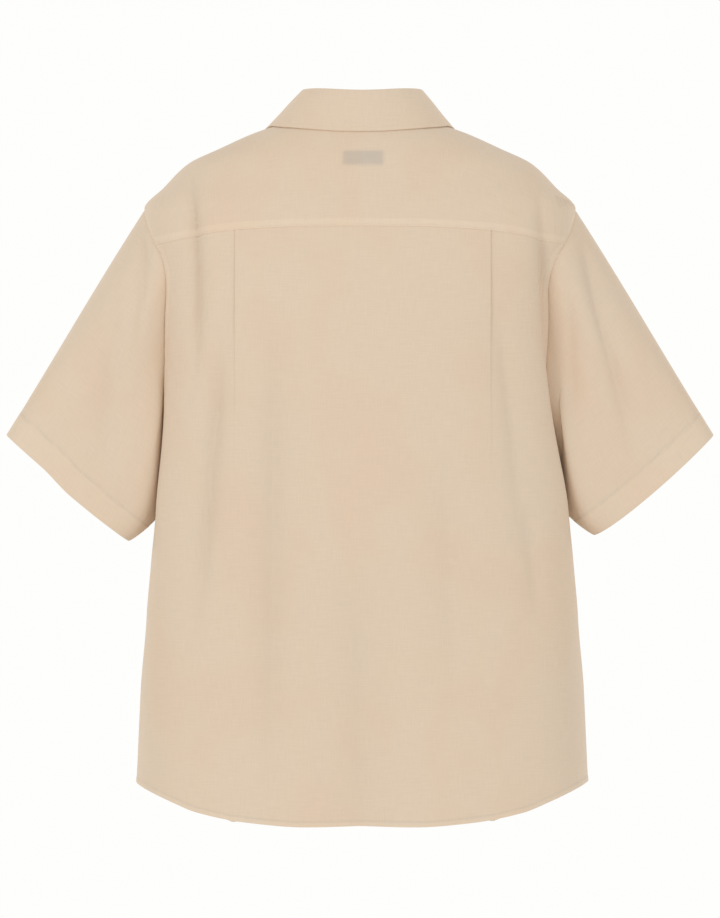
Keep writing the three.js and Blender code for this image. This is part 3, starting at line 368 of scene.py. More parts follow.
def node(tree, kind, at, settings=None, **inputs):
    made = tree.nodes.new(kind)
    made.location = at
    for name, value in (settings or {}).items():
        setattr(made, name, value)
    for name, value in inputs.items():
        feed(tree, made.inputs[name.replace("_", " ")], value)
    return made


def mixed(tree, at, blend, a, b, factor):
    """A mix of two colours, each a colour or a socket."""
    settings = {"data_type": "RGBA", "blend_type": blend}
    return node(tree, "ShaderNodeMix", at, settings, A=a, B=b, Factor=factor).outputs["Result"]


def new_material(name, **surface):
    """A material, its node tree and its shader with the named inputs set."""
    material = bpy.data.materials.new(name)
    material.use_nodes = True
    shader = material.node_tree.nodes["Principled BSDF"]
    for key, value in surface.items():
        shader.inputs[key.replace("_", " ")].default_value = value
    return material, material.node_tree, shader


def speckled_material(name, dark, pale, noise, **surface):
    """A material that wanders between two tones in a fine noise."""
    material, tree, shader = new_material(name, **surface)
    where = node(tree, "ShaderNodeTexCoord", (-900, 0)).outputs["Object"]
    cloud = node(tree, "ShaderNodeTexNoise", (-700, 0), Vector=where, **noise).outputs["Fac"]
    tone = mixed(tree, (-400, 0), "MIX", (*dark, 1), (*pale, 1), cloud)
    tree.links.new(tone, shader.inputs["Base Color"])
    return material


def cloth_material(name, cloth_tone):
    """Plain weave with slub threads both ways, paler where layers lie double."""
    material, tree, shader = new_material(
        name, Roughness=0.88, Sheen_Weight=0.12, Sheen_Roughness=0.5, Specular_IOR_Level=0.25)
    uv = node(tree, "ShaderNodeUVMap", (-1500, 0), {"uv_map": "cloth"}).outputs["UV"]

    def threads(scale, at, detail):
        spread = node(tree, "ShaderNodeMapping", (-1300, at), Vector=uv, Scale=scale)
        return node(tree, "ShaderNodeTexNoise", (-1100, at), {"noise_dimensions": "2D"}, Scale=1.0,
                    Vector=spread.outputs["Vector"], Detail=detail, Roughness=0.55).outputs["Fac"]

    def math(kind, at, *terms):
        made = node(tree, "ShaderNodeMath", at, {"operation": kind})
        for socket, value in zip(made.inputs, terms):
            feed(tree, socket, value)
        return made.outputs[0]

    def ranged(value, at, low, high, to_low):
        return node(tree, "ShaderNodeMapRange", at, Value=value, From_Min=low, From_Max=high,
                    To_Min=to_low, To_Max=1.0).outputs["Result"]

    def mark(name, at):
        return node(tree, "ShaderNodeAttribute", at, {"attribute_name": name}).outputs["Fac"]
    weft = threads((45, 900, 1), 500, 2.5)
    warp = threads((900, 52, 1), 250, 2.5)
    fine_weft = threads((260, 2100, 1), 0, 1.5)
    fine_warp = threads((2100, 260, 1), -250, 1.5)
    cloud = threads((11, 7, 1), -500, 2.0)
    slub = math("ADD", (-850, 400), weft, warp)
    fine = math("ADD", (-850, 0), fine_weft, fine_warp)
    tone = math("MULTIPLY_ADD", (-500, 150), ranged(slub, (-650, 400), 0.7, 1.3, -1.0), 0.5, 0.5)
    dark, pale = ((*(c * share for c in cloth_tone), 1) for share in (0.976, 1.024))
    colour = mixed(tree, (-400, 300), "MIX", dark, pale, tone)
    for at, tint_to, factor in (
            ((-200, 300), (1.0, 0.972, 0.952, 1), ranged(cloud, (-400, -100), 0.42, 0.66, 0.0)),
            ((0, 300), (1.045, 1.05, 1.05, 1), mark("double", (-400, -350))),
            ((200, 300), (0.8, 0.84, 0.9, 1), mark("shade", (-200, -350)))):
        colour = mixed(tree, at, "MULTIPLY", colour, tint_to, factor)
    tree.links.new(colour, shader.inputs["Base Color"])
    relief = math("MULTIPLY_ADD", (-450, -200), slub, 0.6, fine)
    bump = node(tree, "ShaderNodeBump", (200, -200), Strength=0.5, Distance=0.00016, Height=relief)
    tree.links.new(bump.outputs["Normal"], shader.inputs["Normal"])
    shader.location = (450, 300)
    tree.nodes["Material Output"].location = (750, 300)
    return material


CLOTH_TONE = (0.735, 0.592, 0.450)
body_cloth = cloth_material("body_cloth", CLOTH_TONE)


def add_sheet(name, points, material, uv=None, marks=None, wall=0.5, thick=None, closed=False,
              flip=False):
    """A thin shell through a grid of points (rows down, columns round), walled inwards."""
    if flip:
        points, uv, thick = (grid[:, ::-1] for grid in (points, uv, thick))
        marks = {key: value[:, ::-1] for key, value in marks.items()}
    rows, columns = points.shape[:2]
    bpy.ops.mesh.primitive_grid_add(x_subdivisions=columns - 1, y_subdivisions=rows - 1, size=1)
    piece = bpy.context.object
    piece.name = name
    mesh = piece.data
    mesh.name = name
    mesh.vertices.foreach_set("co", (points[::-1] * MM).astype(np.float32).ravel())
    if uv is None:
        across = walked(points, 1)
        uv = np.stack([across - across[:, columns // 2:columns // 2 + 1], -walked(points, 0)], -1)
    corner = np.empty(len(mesh.loops), np.int32)
    mesh.loops.foreach_get("vertex_index", corner)
    mesh.uv_layers.active.name = "cloth"
    flat = (uv[::-1] * MM).reshape(-1, 2)[corner]
    mesh.uv_layers["cloth"].data.foreach_set("uv", flat.astype(np.float32).ravel())
    for key in ("double", "shade"):
        values = (marks or {}).get(key, np.zeros((rows, columns)))
        attribute = mesh.attributes.new(key, "FLOAT", "POINT")
        attribute.data.foreach_set("value", values[::-1].astype(np.float32).ravel())
    if thick is not None:
        group = piece.vertex_groups.new(name="layers")
        levels = np.round(thick[::-1].ravel(), 2)
        for level in np.unique(levels):
            chosen = np.nonzero(levels == level)[0]
            group.add(chosen.tolist(), float(level), "REPLACE")
    mesh.update()
    if closed:
        bpy.ops.object.mode_set(mode="EDIT")
        bpy.ops.mesh.select_all(action="SELECT")
        bpy.ops.mesh.remove_doubles(threshold=0.00002)
        bpy.ops.object.mode_set(mode="OBJECT")
    shell = piece.modifiers.new("wall", "SOLIDIFY")
    shell.offset = -1
    shell.thickness = wall * MM
    shell.use_quality_normals = True
    if thick is not None:
        shell.vertex_group = "layers"
        shell.thickness_vertex_group = 0.0
    bpy.ops.object.modifier_apply(modifier="wall")
    bpy.ops.object.shade_smooth_by_angle(angle=1.0)
    mesh.materials.clear()
    mesh.materials.append(material)
    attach(piece, "root")
    return piece


def seam_path(points, outs, distance, at, from_side=False, part=(0, 1)):
    """The path on a grid at one distance from a side or an end of it, with its outward direction."""
    grid = np.concatenate([points, outs], -1)
    if from_side:
        grid, distance = grid.swapaxes(0, 1), distance.T
    if distance[0].mean() > distance[-1].mean():
        grid, distance = grid[::-1], distance[::-1]
    path = np.array([[np.interp(at, distance[:, j], grid[:, j, k]) for k in range(6)]
                     for j in range(grid.shape[1])])
    first, last = (round(end * (len(path) - 1)) for end in part)
    path = path[first:last + 1]
    return path[:, :3], unit(path[:, 3:])


sewing_thread = speckled_material("sewing_thread", (0.66, 0.53, 0.40), (0.83, 0.69, 0.54),
                                  {"Scale": 1400.0, "Detail": 1.0}, Roughness=0.7)
EDGE_ROW = 1.6
STITCH = {"pitch": 2.7, "length": 2.15, "half_width": 0.2, "height": 0.17, "root": 0.2}


def add_object(name, data):
    made = bpy.data.objects.new(name, data)
    bpy.context.collection.objects.link(made)
    return made


def select_only(*chosen):
    """Select these objects and make the last one active."""
    bpy.ops.object.select_all(action="DESELECT")
    for one in chosen:
        one.select_set(True)
        bpy.context.view_layer.objects.active = one


def add_stitches(name, points, outs, *rows):
    """Rows of lock stitches as small raised grains of thread, one mesh for a piece's rows."""
    corners, faces, count = [], [], 0
    ring = [(1 + k, 1 + (k + 1) % 4) for k in range(4)]
    shape = [(0, b, a) for a, b in ring] + [(a, b, b + 4, a + 4) for a, b in ring]
    shape += [(9, a + 4, b + 4) for a, b in ring]
    for row in rows:
        path, up = seam_path(points, outs, *row)
        along = np.insert(np.cumsum(np.linalg.norm(np.diff(path, axis=0), axis=1)), 0, 0)
        starts = np.arange(0.5, along[-1] - STITCH["length"], STITCH["pitch"])
        at = starts[:, None] + STITCH["length"] * np.array([0, 0.25, 0.75, 1])
        spot = np.stack([np.interp(at, along, path[:, k]) for k in range(3)], -1)
        up = unit(np.stack([np.interp(at, along, up[:, k]) for k in range(3)], -1))
        side = unit(np.cross(up, spot[:, 3:] - spot[:, :1]))
        left, right = spot + side * STITCH["half_width"], spot - side * STITCH["half_width"]
        top, root = spot + up * STITCH["height"], spot - up * STITCH["root"]
        rings = [np.stack([left[:, k], top[:, k], right[:, k], root[:, k]], 1) for k in (1, 2)]
        ends = [root[:, k:k + 1] for k in (0, 3)]
        grains = np.concatenate([ends[0], rings[0], rings[1], ends[1]], 1)
        corners.append(grains.reshape(-1, 3) * MM)
        for k in range(len(grains)):
            faces += [tuple(count + c for c in face) for face in shape]
            count += 10
    mesh = bpy.data.meshes.new(name)
    mesh.from_pydata(np.concatenate(corners).tolist(), [], faces)
    piece = add_object(name, mesh)
    select_only(piece)
    bpy.ops.object.mode_set(mode="EDIT")
    bpy.ops.mesh.select_all(action="SELECT")
    bpy.ops.mesh.normals_make_consistent(inside=False)
    bpy.ops.object.mode_set(mode="OBJECT")
    bpy.ops.object.shade_smooth()
    mesh.materials.append(sewing_thread)
    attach(piece, "root")


FRONT_SEAM_AT_NECK = -27
YOKE_BACK_ROW = 2
YOKE_FRONT_ROW = 1
YOKE_SHOULDER_COLUMNS = 2 * (YOKE_BACK_ROW + YOKE_FRONT_ROW)
YOKE_BACK_COLUMNS = 24
YOKE_SPANS = 2 * YOKE_SHOULDER_COLUMNS + YOKE_BACK_COLUMNS
YOKE_REACH = 3
YOKE_DETAIL = 6
BACK_SEAM = table("x z", (0, -117.5), (60, -118), (128, -121), (165, -125), (190, -130), (214, -134))
ALLOWANCE = 8
ALLOWANCE_ROW = 7
YOKE_INNER_ROW = 7.2
PLEAT_EDGES = {1: 128, -1: -134}
PLEAT_BEND = 0.27
PLEAT_SETTLE = 30
LABEL = {"centre": -3.2, "half_width": 20.8, "top": -39.2, "bottom": -54.2}
LABEL_SHADE = 0.95

# How far past a strip its mark or its rise ends, and over what length: for the label seen through the
# cloth, a seam allowance, a hem or facing that lies double, and the cloth that it lifts.
LABEL_BLUR = (2, 4)
MARK_BLUR = (0.5, 1.2)
HEM_BLUR = (0.3, 0.8)
RISE_BLUR = (0.6, 1.4)


def front_yoke_seam(side, v):
    neck, arm = neckline_place(np.array(FRONT_SEAM_AT_NECK)), armhole_place(ROUND - YOKE_FRONT_ROW, 1)
    neck_y, arm_y = plain_point(*neck)[1], plain_point(*arm)[1]
    z = mix(neck[1], arm[1], v ** 1.15)
    turn = turn_at_y(mix(neck_y, arm_y, v), z)
    return place(turn if side > 0 else 180 - turn, z)


def yoke_outer(u):
    i = u * YOKE_SPANS
    left = armhole_place(np.minimum(i, YOKE_SHOULDER_COLUMNS) / 2 - YOKE_FRONT_ROW, 1)
    right = armhole_place(np.minimum(YOKE_SPANS - i, YOKE_SHOULDER_COLUMNS) / 2 - YOKE_FRONT_ROW, -1)
    ends = [armhole_place(YOKE_BACK_ROW + 0 * u, side)[..., 0] for side in (1, -1)]
    along = np.clip((i - YOKE_SHOULDER_COLUMNS) / YOKE_BACK_COLUMNS, 0, 1)
    middle = line_place(BACK_SEAM, mix(ends[0], ends[1], along))
    first = (i <= YOKE_SHOULDER_COLUMNS)[..., None]
    last = (i >= YOKE_SPANS - YOKE_SHOULDER_COLUMNS)[..., None]
    return np.where(first, left, np.where(last, right, middle))


def yoke_neck(u):
    there = neckline_place(mix(FRONT_SEAM_AT_NECK, 180 - FRONT_SEAM_AT_NECK, u))
    turn = there[..., 0]
    return place(np.where(turn < -90, turn + 360, turn), there[..., 1])


yoke_u = np.linspace(0, 1, YOKE_SPANS * YOKE_DETAIL + 1)
yoke_v = graded(135, 2.4)
yoke_edges = (yoke_neck, yoke_outer, lambda v: front_yoke_seam(1, v), lambda v: front_yoke_seam(-1, v))
yoke_places = form_patch(yoke_edges, YOKE_REACH, *np.meshgrid(yoke_u, yoke_v))
yoke_on, _, yoke_out = form_frame(*apart(yoke_places))
to_left, to_right, _, to_bottom = from_edges(yoke_on)
on_body = (np.abs(yoke_u * YOKE_SPANS - YOKE_SPANS / 2) <= YOKE_BACK_COLUMNS / 2)[None]
along_edge = walked(yoke_on[-1:], 1)
yoke_lift = 0.08 * fading(to_bottom, 7) + pucker(along_edge, to_bottom, 11, height=0.22)
for distance in (to_left, to_right):
    yoke_lift = yoke_lift + 0.15 * fading(distance, 7)
yoke_lift = yoke_lift - 0.35 * line_hit(to_bottom, EDGE_ROW, 0.45)
x, y, z = np.moveaxis(yoke_on, -1, 0)
beyond = np.where(x > 0, x - PLEAT_EDGES[1], PLEAT_EDGES[-1] - x)
over_step = smooth((beyond + 2) / 4) * (1 - smooth(beyond / PLEAT_SETTLE)) * on_body * (y > 0)
yoke_lift = yoke_lift - 4 * PLEAT_BEND * over_step * fading(to_bottom, 9)
label_place = strip(np.abs(x - LABEL["centre"]), LABEL["half_width"], *LABEL_BLUR)
label_place = label_place * strip(z, LABEL["top"], *LABEL_BLUR)
label_place = label_place * strip(-z, -LABEL["bottom"], *LABEL_BLUR) * (y > 0)
yoke_double = strip(np.minimum(to_bottom, np.minimum(to_left, to_right)), ALLOWANCE, *MARK_BLUR)
yoke_shade = FOLD_SHADE * (folds_at(BODY_FOLDS, BODY_FOLDS["face"] > 0, x, z) * (y > 0))
yoke_shade = label_place * LABEL_SHADE + yoke_shade
yoke_points = yoke_on + yoke_out * yoke_lift[..., None]
yoke_uv = np.stack([-x * 1.08, y + np.tanh(y / 60) * -z * 0.75], -1)
yoke = add_sheet("yoke_cloth", yoke_points, body_cloth, yoke_uv,
                 {"double": yoke_double, "shade": yoke_shade})
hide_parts("yoke")
shoulder = YOKE_SHOULDER_COLUMNS / YOKE_SPANS
add_stitches("yoke_stitches", yoke_points, yoke_out,
             (to_bottom, EDGE_ROW), (to_left, EDGE_ROW, True), (to_right, EDGE_ROW, True),
             (to_bottom, YOKE_INNER_ROW, False, (0, shoulder)),
             (to_bottom, YOKE_INNER_ROW, False, (1 - shoulder, 1)))

# The back: one panel from the yoke seam to the curved hem, with a knife pleat below each shoulder
# blade, its sides sewn to the fronts, and a narrow hem turned twice and stitched.
BACK_HEM = table(
    "x z", (0, -730), (58, -731.4), (115, -727.5), (168, -718.3), (194, -709), (220, -699),
    (236, -692.8),
)
PLEAT = table(
    "z under turn",
    (-100, 9, 180), (-145, 6, 180), (-190, 1.8, 165), (-217, 1.1, 110), (-250, 1.1, 55),
    (-300, 1.6, 22), (-375, 3, 4), (-475, 3, 0), (-760, 3, 0),
)
PLEAT_BEND_STEPS = 5
ARM_SHARE = 0.42
ARMHOLE_PART = (0, ARM_SHARE * 0.98)
BODY_HEM = 6
HEM_ROW = BODY_HEM - 0.8
SEAM_SHADE = 0.45
PANEL_WALL = 1.2
SINGLE = 0.4
HEM_PALER = 0.6
pleat_under, pleat_turn = curves(PLEAT, "z", "under turn")


def panel_side(side, face, first_row, hem, v):
    """A side of a panel, face 1 back or -1 front: down its armhole from a row, then to the hem."""
    row = mix(first_row, UNDERARM, np.clip(v / ARM_SHARE, 0, 1))
    round_back = 360 if side < 0 and face < 0 else 0
    arm = armhole_place(row, side) - [round_back, 0]
    low = mix(ARMHOLE["z"][-1], hem["z"][-1], np.clip((v - ARM_SHARE) / (1 - ARM_SHARE), 0, 1))
    seam = place(0 * v + (0 if side > 0 else 180 * face), low)
    return np.where((v <= ARM_SHARE)[..., None], arm, seam)


def back_side(side, v):
    return panel_side(side, 1, YOKE_BACK_ROW, BACK_HEM, v)


def panel_lift(on, edge, to_top, to_bottom, armhole_rows, seeds, sunk):
    """How far a hung panel's cloth stands off the form near its seams and its hem."""
    lift = 0.15 * fading(edge, 6) * armhole_rows
    lift = lift + pucker(walked(on[:, :1], 0), edge, seeds[0], height=0.25)
    lift = lift - 0.35 * line_hit(edge, ALLOWANCE_ROW, 0.5) * armhole_rows
    lift = lift - 0.4 * line_hit(edge, 0, 1.1) * (1 - armhole_rows)
    lift = lift - sunk * smooth(1 - to_top / 1.6)
    lift = lift + pucker(walked(on[-1:], 1), to_bottom, seeds[1], reach=9, height=0.35)
    lift = lift + 0.35 * strip(to_bottom, BODY_HEM, *RISE_BLUR)
    return lift - 0.3 * line_hit(to_bottom, HEM_ROW, 0.45)


def pleat_section(z):
    """Along, into and facing of the cloth's middle line in a pleat, for each height z."""
    turn = np.radians(pleat_turn(z))
    under = pleat_under(z)
    parts = np.linspace(0, 1, PLEAT_BEND_STEPS + 1)
    first = turn[:, None] * parts
    second = turn[:, None] * (1 - parts)
    along_1, into_1 = PLEAT_BEND * np.sin(first), PLEAT_BEND * (1 - np.cos(first))
    start_along = along_1[:, -1:] + (under * np.cos(turn))[:, None]
    start_into = into_1[:, -1:] + (under * np.sin(turn))[:, None]
    along_2 = start_along + PLEAT_BEND * (np.sin(turn)[:, None] - np.sin(second))
    into_2 = start_into + PLEAT_BEND * (np.cos(second) - np.cos(turn)[:, None])
    return (np.concatenate([along_1, along_2], 1), np.concatenate([into_1, into_2], 1),
            np.concatenate([first, second], 1))


back_v = graded(597, 3.6, fine=0.85, band=9)
back_v[np.argmin(np.abs(back_v - ARM_SHARE))] = ARM_SHARE
left_edge, right_edge = back_side(1, back_v), back_side(-1, back_v)
first_turn, last_turn = left_edge[:, 0], right_edge[:, 0]
back_edges = (
    lambda u: line_place(BACK_SEAM, mix(first_turn[0], last_turn[0], u)),
    lambda u: line_place(BACK_HEM, mix(0, 180, u)),
    lambda v: back_side(1, v), lambda v: back_side(-1, v),
)
middle_z = blend_edges(back_edges, np.full(len(back_v), 0.5), back_v)[:, 1]
row_z = mix(left_edge[:, 1], middle_z, 0.75)
pleat_along, pleat_into, pleat_facing = pleat_section(row_z)
pleat_left = turn_at_x(PLEAT_EDGES[1], row_z, 1)
pleat_right = turn_at_x(PLEAT_EDGES[-1], row_z, 1)
side_parts = graded(105, 2.3, fine=0.9, band=8, end=False)[:-1]
middle_parts = np.linspace(0, 1, 112)[1:-1]
none = np.zeros((len(back_v), 1))
reach = np.maximum(pleat_along.max(1), 0) + 0.7
beside_left = turn_at_x(PLEAT_EDGES[1] + reach, row_z, 1)[:, None]
beside_right = turn_at_x(PLEAT_EDGES[-1] - reach, row_z, 1)[:, None]
columns = [
    (mix(first_turn[:, None], beside_left, side_parts), none, none, none),
    (pleat_left[:, None] + 0 * pleat_along, -pleat_along, pleat_into, -pleat_facing),
    (mix(pleat_left[:, None], pleat_right[:, None], middle_parts), none, none, none),
    (pleat_right[:, None] + 0 * pleat_along, pleat_along, pleat_into, pleat_facing),
    (mix(last_turn[:, None], beside_right, side_parts[::-1]), none, none, none),
]
columns[1] = tuple(part[:, ::-1] for part in columns[1])
turn, along, into, facing = (
    np.concatenate([np.broadcast_to(column[k], column[0].shape) for column in columns], 1)
    for k in range(4)
)
u = np.clip((turn - first_turn[:, None]) / (last_turn - first_turn)[:, None], 0, 1)
back_z = blend_edges(back_edges, u, back_v[:, None] + 0 * u)[..., 1]
back_on, across, out = form_frame(turn, back_z)
step = pleat_into[:, -1:]
beyond = np.abs(back_on[..., 0]) - np.where(back_on[..., 0] > 0, PLEAT_EDGES[1], -PLEAT_EDGES[-1])
plain = (facing == 0) & (into == 0)
settle = np.where(plain & (beyond > 0.3), step * (1 - smooth(beyond / PLEAT_SETTLE)), 0)
to_left, to_right, to_top, to_bottom = from_edges(back_on)
armhole_rows = smooth((ARM_SHARE - back_v) / 0.004)[:, None]
edge = np.minimum(to_left, to_right)
back_lift = panel_lift(back_on, edge, to_top, to_bottom, armhole_rows, (21, 22), 0.32)
centre = back_on + across * along[..., None] - out * (into + settle)[..., None]
face = out * np.cos(facing)[..., None] + across * np.sin(facing)[..., None]
back_points = centre + face * np.where(plain, back_lift, 0)[..., None]
hem = strip(to_bottom, BODY_HEM, *HEM_BLUR)
along_row = walked(back_points, 1)
back_uv = np.stack([along_row - along_row[:, 90:91], back_z], -1)
allowance = strip(edge, ALLOWANCE, *MARK_BLUR) * armhole_rows
back_shade = FOLD_SHADE * folds_at(BODY_FOLDS, BODY_FOLDS["face"] > 0, back_on[..., 0], back_z)
back_shade = back_shade + SEAM_SHADE * line_hit(to_bottom, HEM_ROW, 0.8)
back = add_sheet("back_cloth", back_points, body_cloth, back_uv,
                 {"double": np.maximum(allowance, hem * HEM_PALER), "shade": back_shade},
                 wall=PANEL_WALL, thick=mix(SINGLE, 1, hem))
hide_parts("back")
add_stitches("back_stitches", back_points, out, (to_bottom, HEM_ROW),
             (to_left, ALLOWANCE_ROW, True, ARMHOLE_PART), (to_right, ALLOWANCE_ROW, True, ARMHOLE_PART))

# The fronts: the left one laps over the right one by 30 mm, where its edge is turned under and
# stitched down. Both hang from the front yoke seams and the collar, with the back's narrow hem.
FRONT_HEM = table("x z", (0, -711), (90, -710), (168, -703.5), (210, -697), (236, -692.8))
FRONT_LAP = {"half": 15, "under": 2.35, "ease": 60, "facing": 30}
FACING_ROW = FRONT_LAP["facing"] - 1.2
FRONT_SHOULDER_REACH = 0.3
SEAM_SHARE = 0.5
CENTRE_SHARE = 0.93


def front_side(side, v):
    return panel_side(side, -1, ROUND - YOKE_FRONT_ROW, FRONT_HEM, v)


def front_edges(side):
    neck_top = neckline_place(np.array(-90.0))[1]
    lap_top = turn_at_x(-side * FRONT_LAP["half"], neck_top, -1)
    lap_low = line_place(FRONT_HEM, turn_at_x(-side * FRONT_LAP["half"], np.array(-700.0), -1))

    def top(u):
        seam = front_yoke_seam(side, np.clip(1 - u / SEAM_SHARE, 0, 1))
        round_back = np.where((side < 0) & (seam[..., 0] > 0), 360, 0)
        seam = place(seam[..., 0] - round_back, seam[..., 1])
        share = np.clip((u - SEAM_SHARE) / (CENTRE_SHARE - SEAM_SHARE), 0, 1)
        neck = neckline_place(mix(FRONT_SEAM_AT_NECK, -90, share))
        neck = neck if side > 0 else place(-180 - neck[..., 0], neck[..., 1])
        lap = place(mix(-90, lap_top, (u - CENTRE_SHARE) / (1 - CENTRE_SHARE)), neck_top)
        first, last = (u <= SEAM_SHARE)[..., None], (u > CENTRE_SHARE)[..., None]
        return np.where(first, seam, np.where(last, lap, neck))

    def bottom(u):
        return line_place(FRONT_HEM, mix(0 if side > 0 else -180, lap_low[0], u))

    def lap_edge(v):
        z = mix(neck_top, lap_low[1], v)
        return place(turn_at_x(-side * FRONT_LAP["half"], z, -1), z)
    return top, bottom, lambda v: front_side(side, v), lap_edge


front_u = np.concatenate([
    SEAM_SHARE * graded(125, 2.7, end=False),
    mix(SEAM_SHARE, CENTRE_SHARE, np.linspace(0, 1, 38)[1:]),
    mix(CENTRE_SHARE, 1, np.linspace(0, 1, 14)[1:]),
])
front_v = graded(640, 3.7, fine=0.85, band=9)
front_v[np.argmin(np.abs(front_v - ARM_SHARE))] = ARM_SHARE
for side, label in ((1, "left"), (-1, "right")):
    places = form_patch(front_edges(side), FRONT_SHOULDER_REACH, *np.meshgrid(front_u, front_v))
    front_on, _, out = form_frame(*apart(places))
    to_side, to_lap, to_top, to_bottom = from_edges(front_on)
    armhole_rows = smooth((ARM_SHARE - front_v) / 0.004)[:, None]
    seam_columns = smooth((SEAM_SHARE - front_u) / 0.01)[None]
    lift = panel_lift(front_on, to_side, to_top, to_bottom, armhole_rows, (31 + side, 41 + side),
                      0.5 * seam_columns)
    lift = lift + 0.25 * strip(to_lap, FRONT_LAP["facing"], *RISE_BLUR)
    lift = lift - 0.3 * line_hit(to_lap, FACING_ROW, 0.7)
    lift = lift + pucker(walked(front_on[:, -1:], 0), to_lap - FRONT_LAP["facing"], 51 + side, height=0.2)
    x = front_on[..., 0] * side
    if side < 0:
        inner = (FRONT_LAP["ease"] + FRONT_LAP["half"] - x) / FRONT_LAP["ease"]
        lift = lift - FRONT_LAP["under"] * smooth(inner)
    points = front_on + out * lift[..., None]
    hem = strip(to_bottom, BODY_HEM, *HEM_BLUR)
    facing = strip(to_lap, FRONT_LAP["facing"], *HEM_BLUR)
    allowance = strip(to_side, ALLOWANCE, *MARK_BLUR) * armhole_rows
    uv = np.stack([walked(points, 1) * -side, places[..., 1]], -1)
    thick = np.maximum(hem, 0.6 * facing)
    shade = FOLD_SHADE * folds_at(BODY_FOLDS, BODY_FOLDS["face"] < 0, front_on[..., 0], places[..., 1])
    for distance, at in ((to_bottom, HEM_ROW), (to_lap, FACING_ROW)):
        shade = shade + SEAM_SHADE * line_hit(distance, at, 0.8)
    front = add_sheet(f"front_{label}_cloth", points, body_cloth, uv,
                      {"double": np.maximum(allowance, thick * HEM_PALER), "shade": shade},
                      wall=PANEL_WALL, thick=mix(SINGLE, 1, thick), flip=side > 0)
    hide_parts(f"front_{label}")
    add_stitches(f"front_{label}_stitches", points, out, (to_bottom, HEM_ROW),
                 (to_side, ALLOWANCE_ROW, True, ARMHOLE_PART), (to_lap, FACING_ROW, True))

# The sleeves: each one is a tube of cloth that falls from the armhole to an open cuff, sewn
# together along the underarm and hemmed 28 mm deep.
SLEEVE = {"centre": (306, -5, -386), "reach_x": 64, "reach_z": 55.5, "half_depth": 49, "flatness": 0.42}
CUFF_EDGE = {"bow": 3.2, "start": {1: 0.3, -1: -0.3}, "rise": 0.25, "lift": {1: 0, -1: 2.5},
             "draw_in": {1: 0, -1: 6.5}}
SLEEVE_HEM = 28
SLEEVE_ROW = SLEEVE_HEM - 1.2
SLEEVE_TUCK = 3.5
SLEEVE_LEAD = table(
    "row x y z end_x end_y end_z",
    (0, 0.545, 0, -0.84, 0.525, 0, -0.851), (3, 0.5, 0.16, -0.85, 0.56, 0, -0.83),
    (4, 0.53, 0.16, -0.83, 0.58, 0, -0.82), (5, 0.58, 0.25, -0.79, 0.6, -0.1, -0.8),
    (6, 0.64, 0.32, -0.74, 0.62, -0.25, -0.78), (7, 0.67, 0.45, -0.72, 0.64, -0.45, -0.765),
    (7.7, 0.68, 0.5, -0.73, 0.65, -0.4, -0.755), (8, 0.68, 0, -0.73, 0.66, 0, -0.75),
)
SLEEVE_FOLDS = table(
    "side face top end x0 x1 x2 width depth",
    (1, 1, -92, -250, 231, 226, 232, 6, 5), (1, 1, -160, -420, 256, 262, 284, 13, 4),
    (1, -1, -110, -330, 236, 238, 254, 8, 5), (-1, 1, -92, -380, 228, 256, 296, 9, 8),
    (-1, 1, -140, -400, 218, 219, 230, 9, 3.5), (-1, -1, -110, -350, 234, 240, 260, 9, 6),
)
share_rows = np.linspace(0, ROUND, ROUND * 2 + 1)
share_points = plain_point(*apart(armhole_place(share_rows, 1)))
SHARES = walked(share_points, 0)


def cuff_turn(row):
    """How far round the cuff the cloth from an armhole row arrives: half a turn at the underarm."""
    round_it = np.interp(np.mod(row, ROUND), share_rows, SHARES)
    half, whole = SHARES[UNDERARM * 2], SHARES[-1]
    late = np.pi * (1 + (round_it - half) / (whole - half))
    return np.where(round_it <= half, np.pi * round_it / half, late)


# How the underarm is pressed to the body: the gap it keeps, over what reach past that, by what share,
# from what part of the way round, and over what part of its length it comes free at the cuff.
PRESS = {"gap": 1.2, "reach": 120, "share": 0.98, "from": 0.55, "rise": 0.25, "free": 0.65}


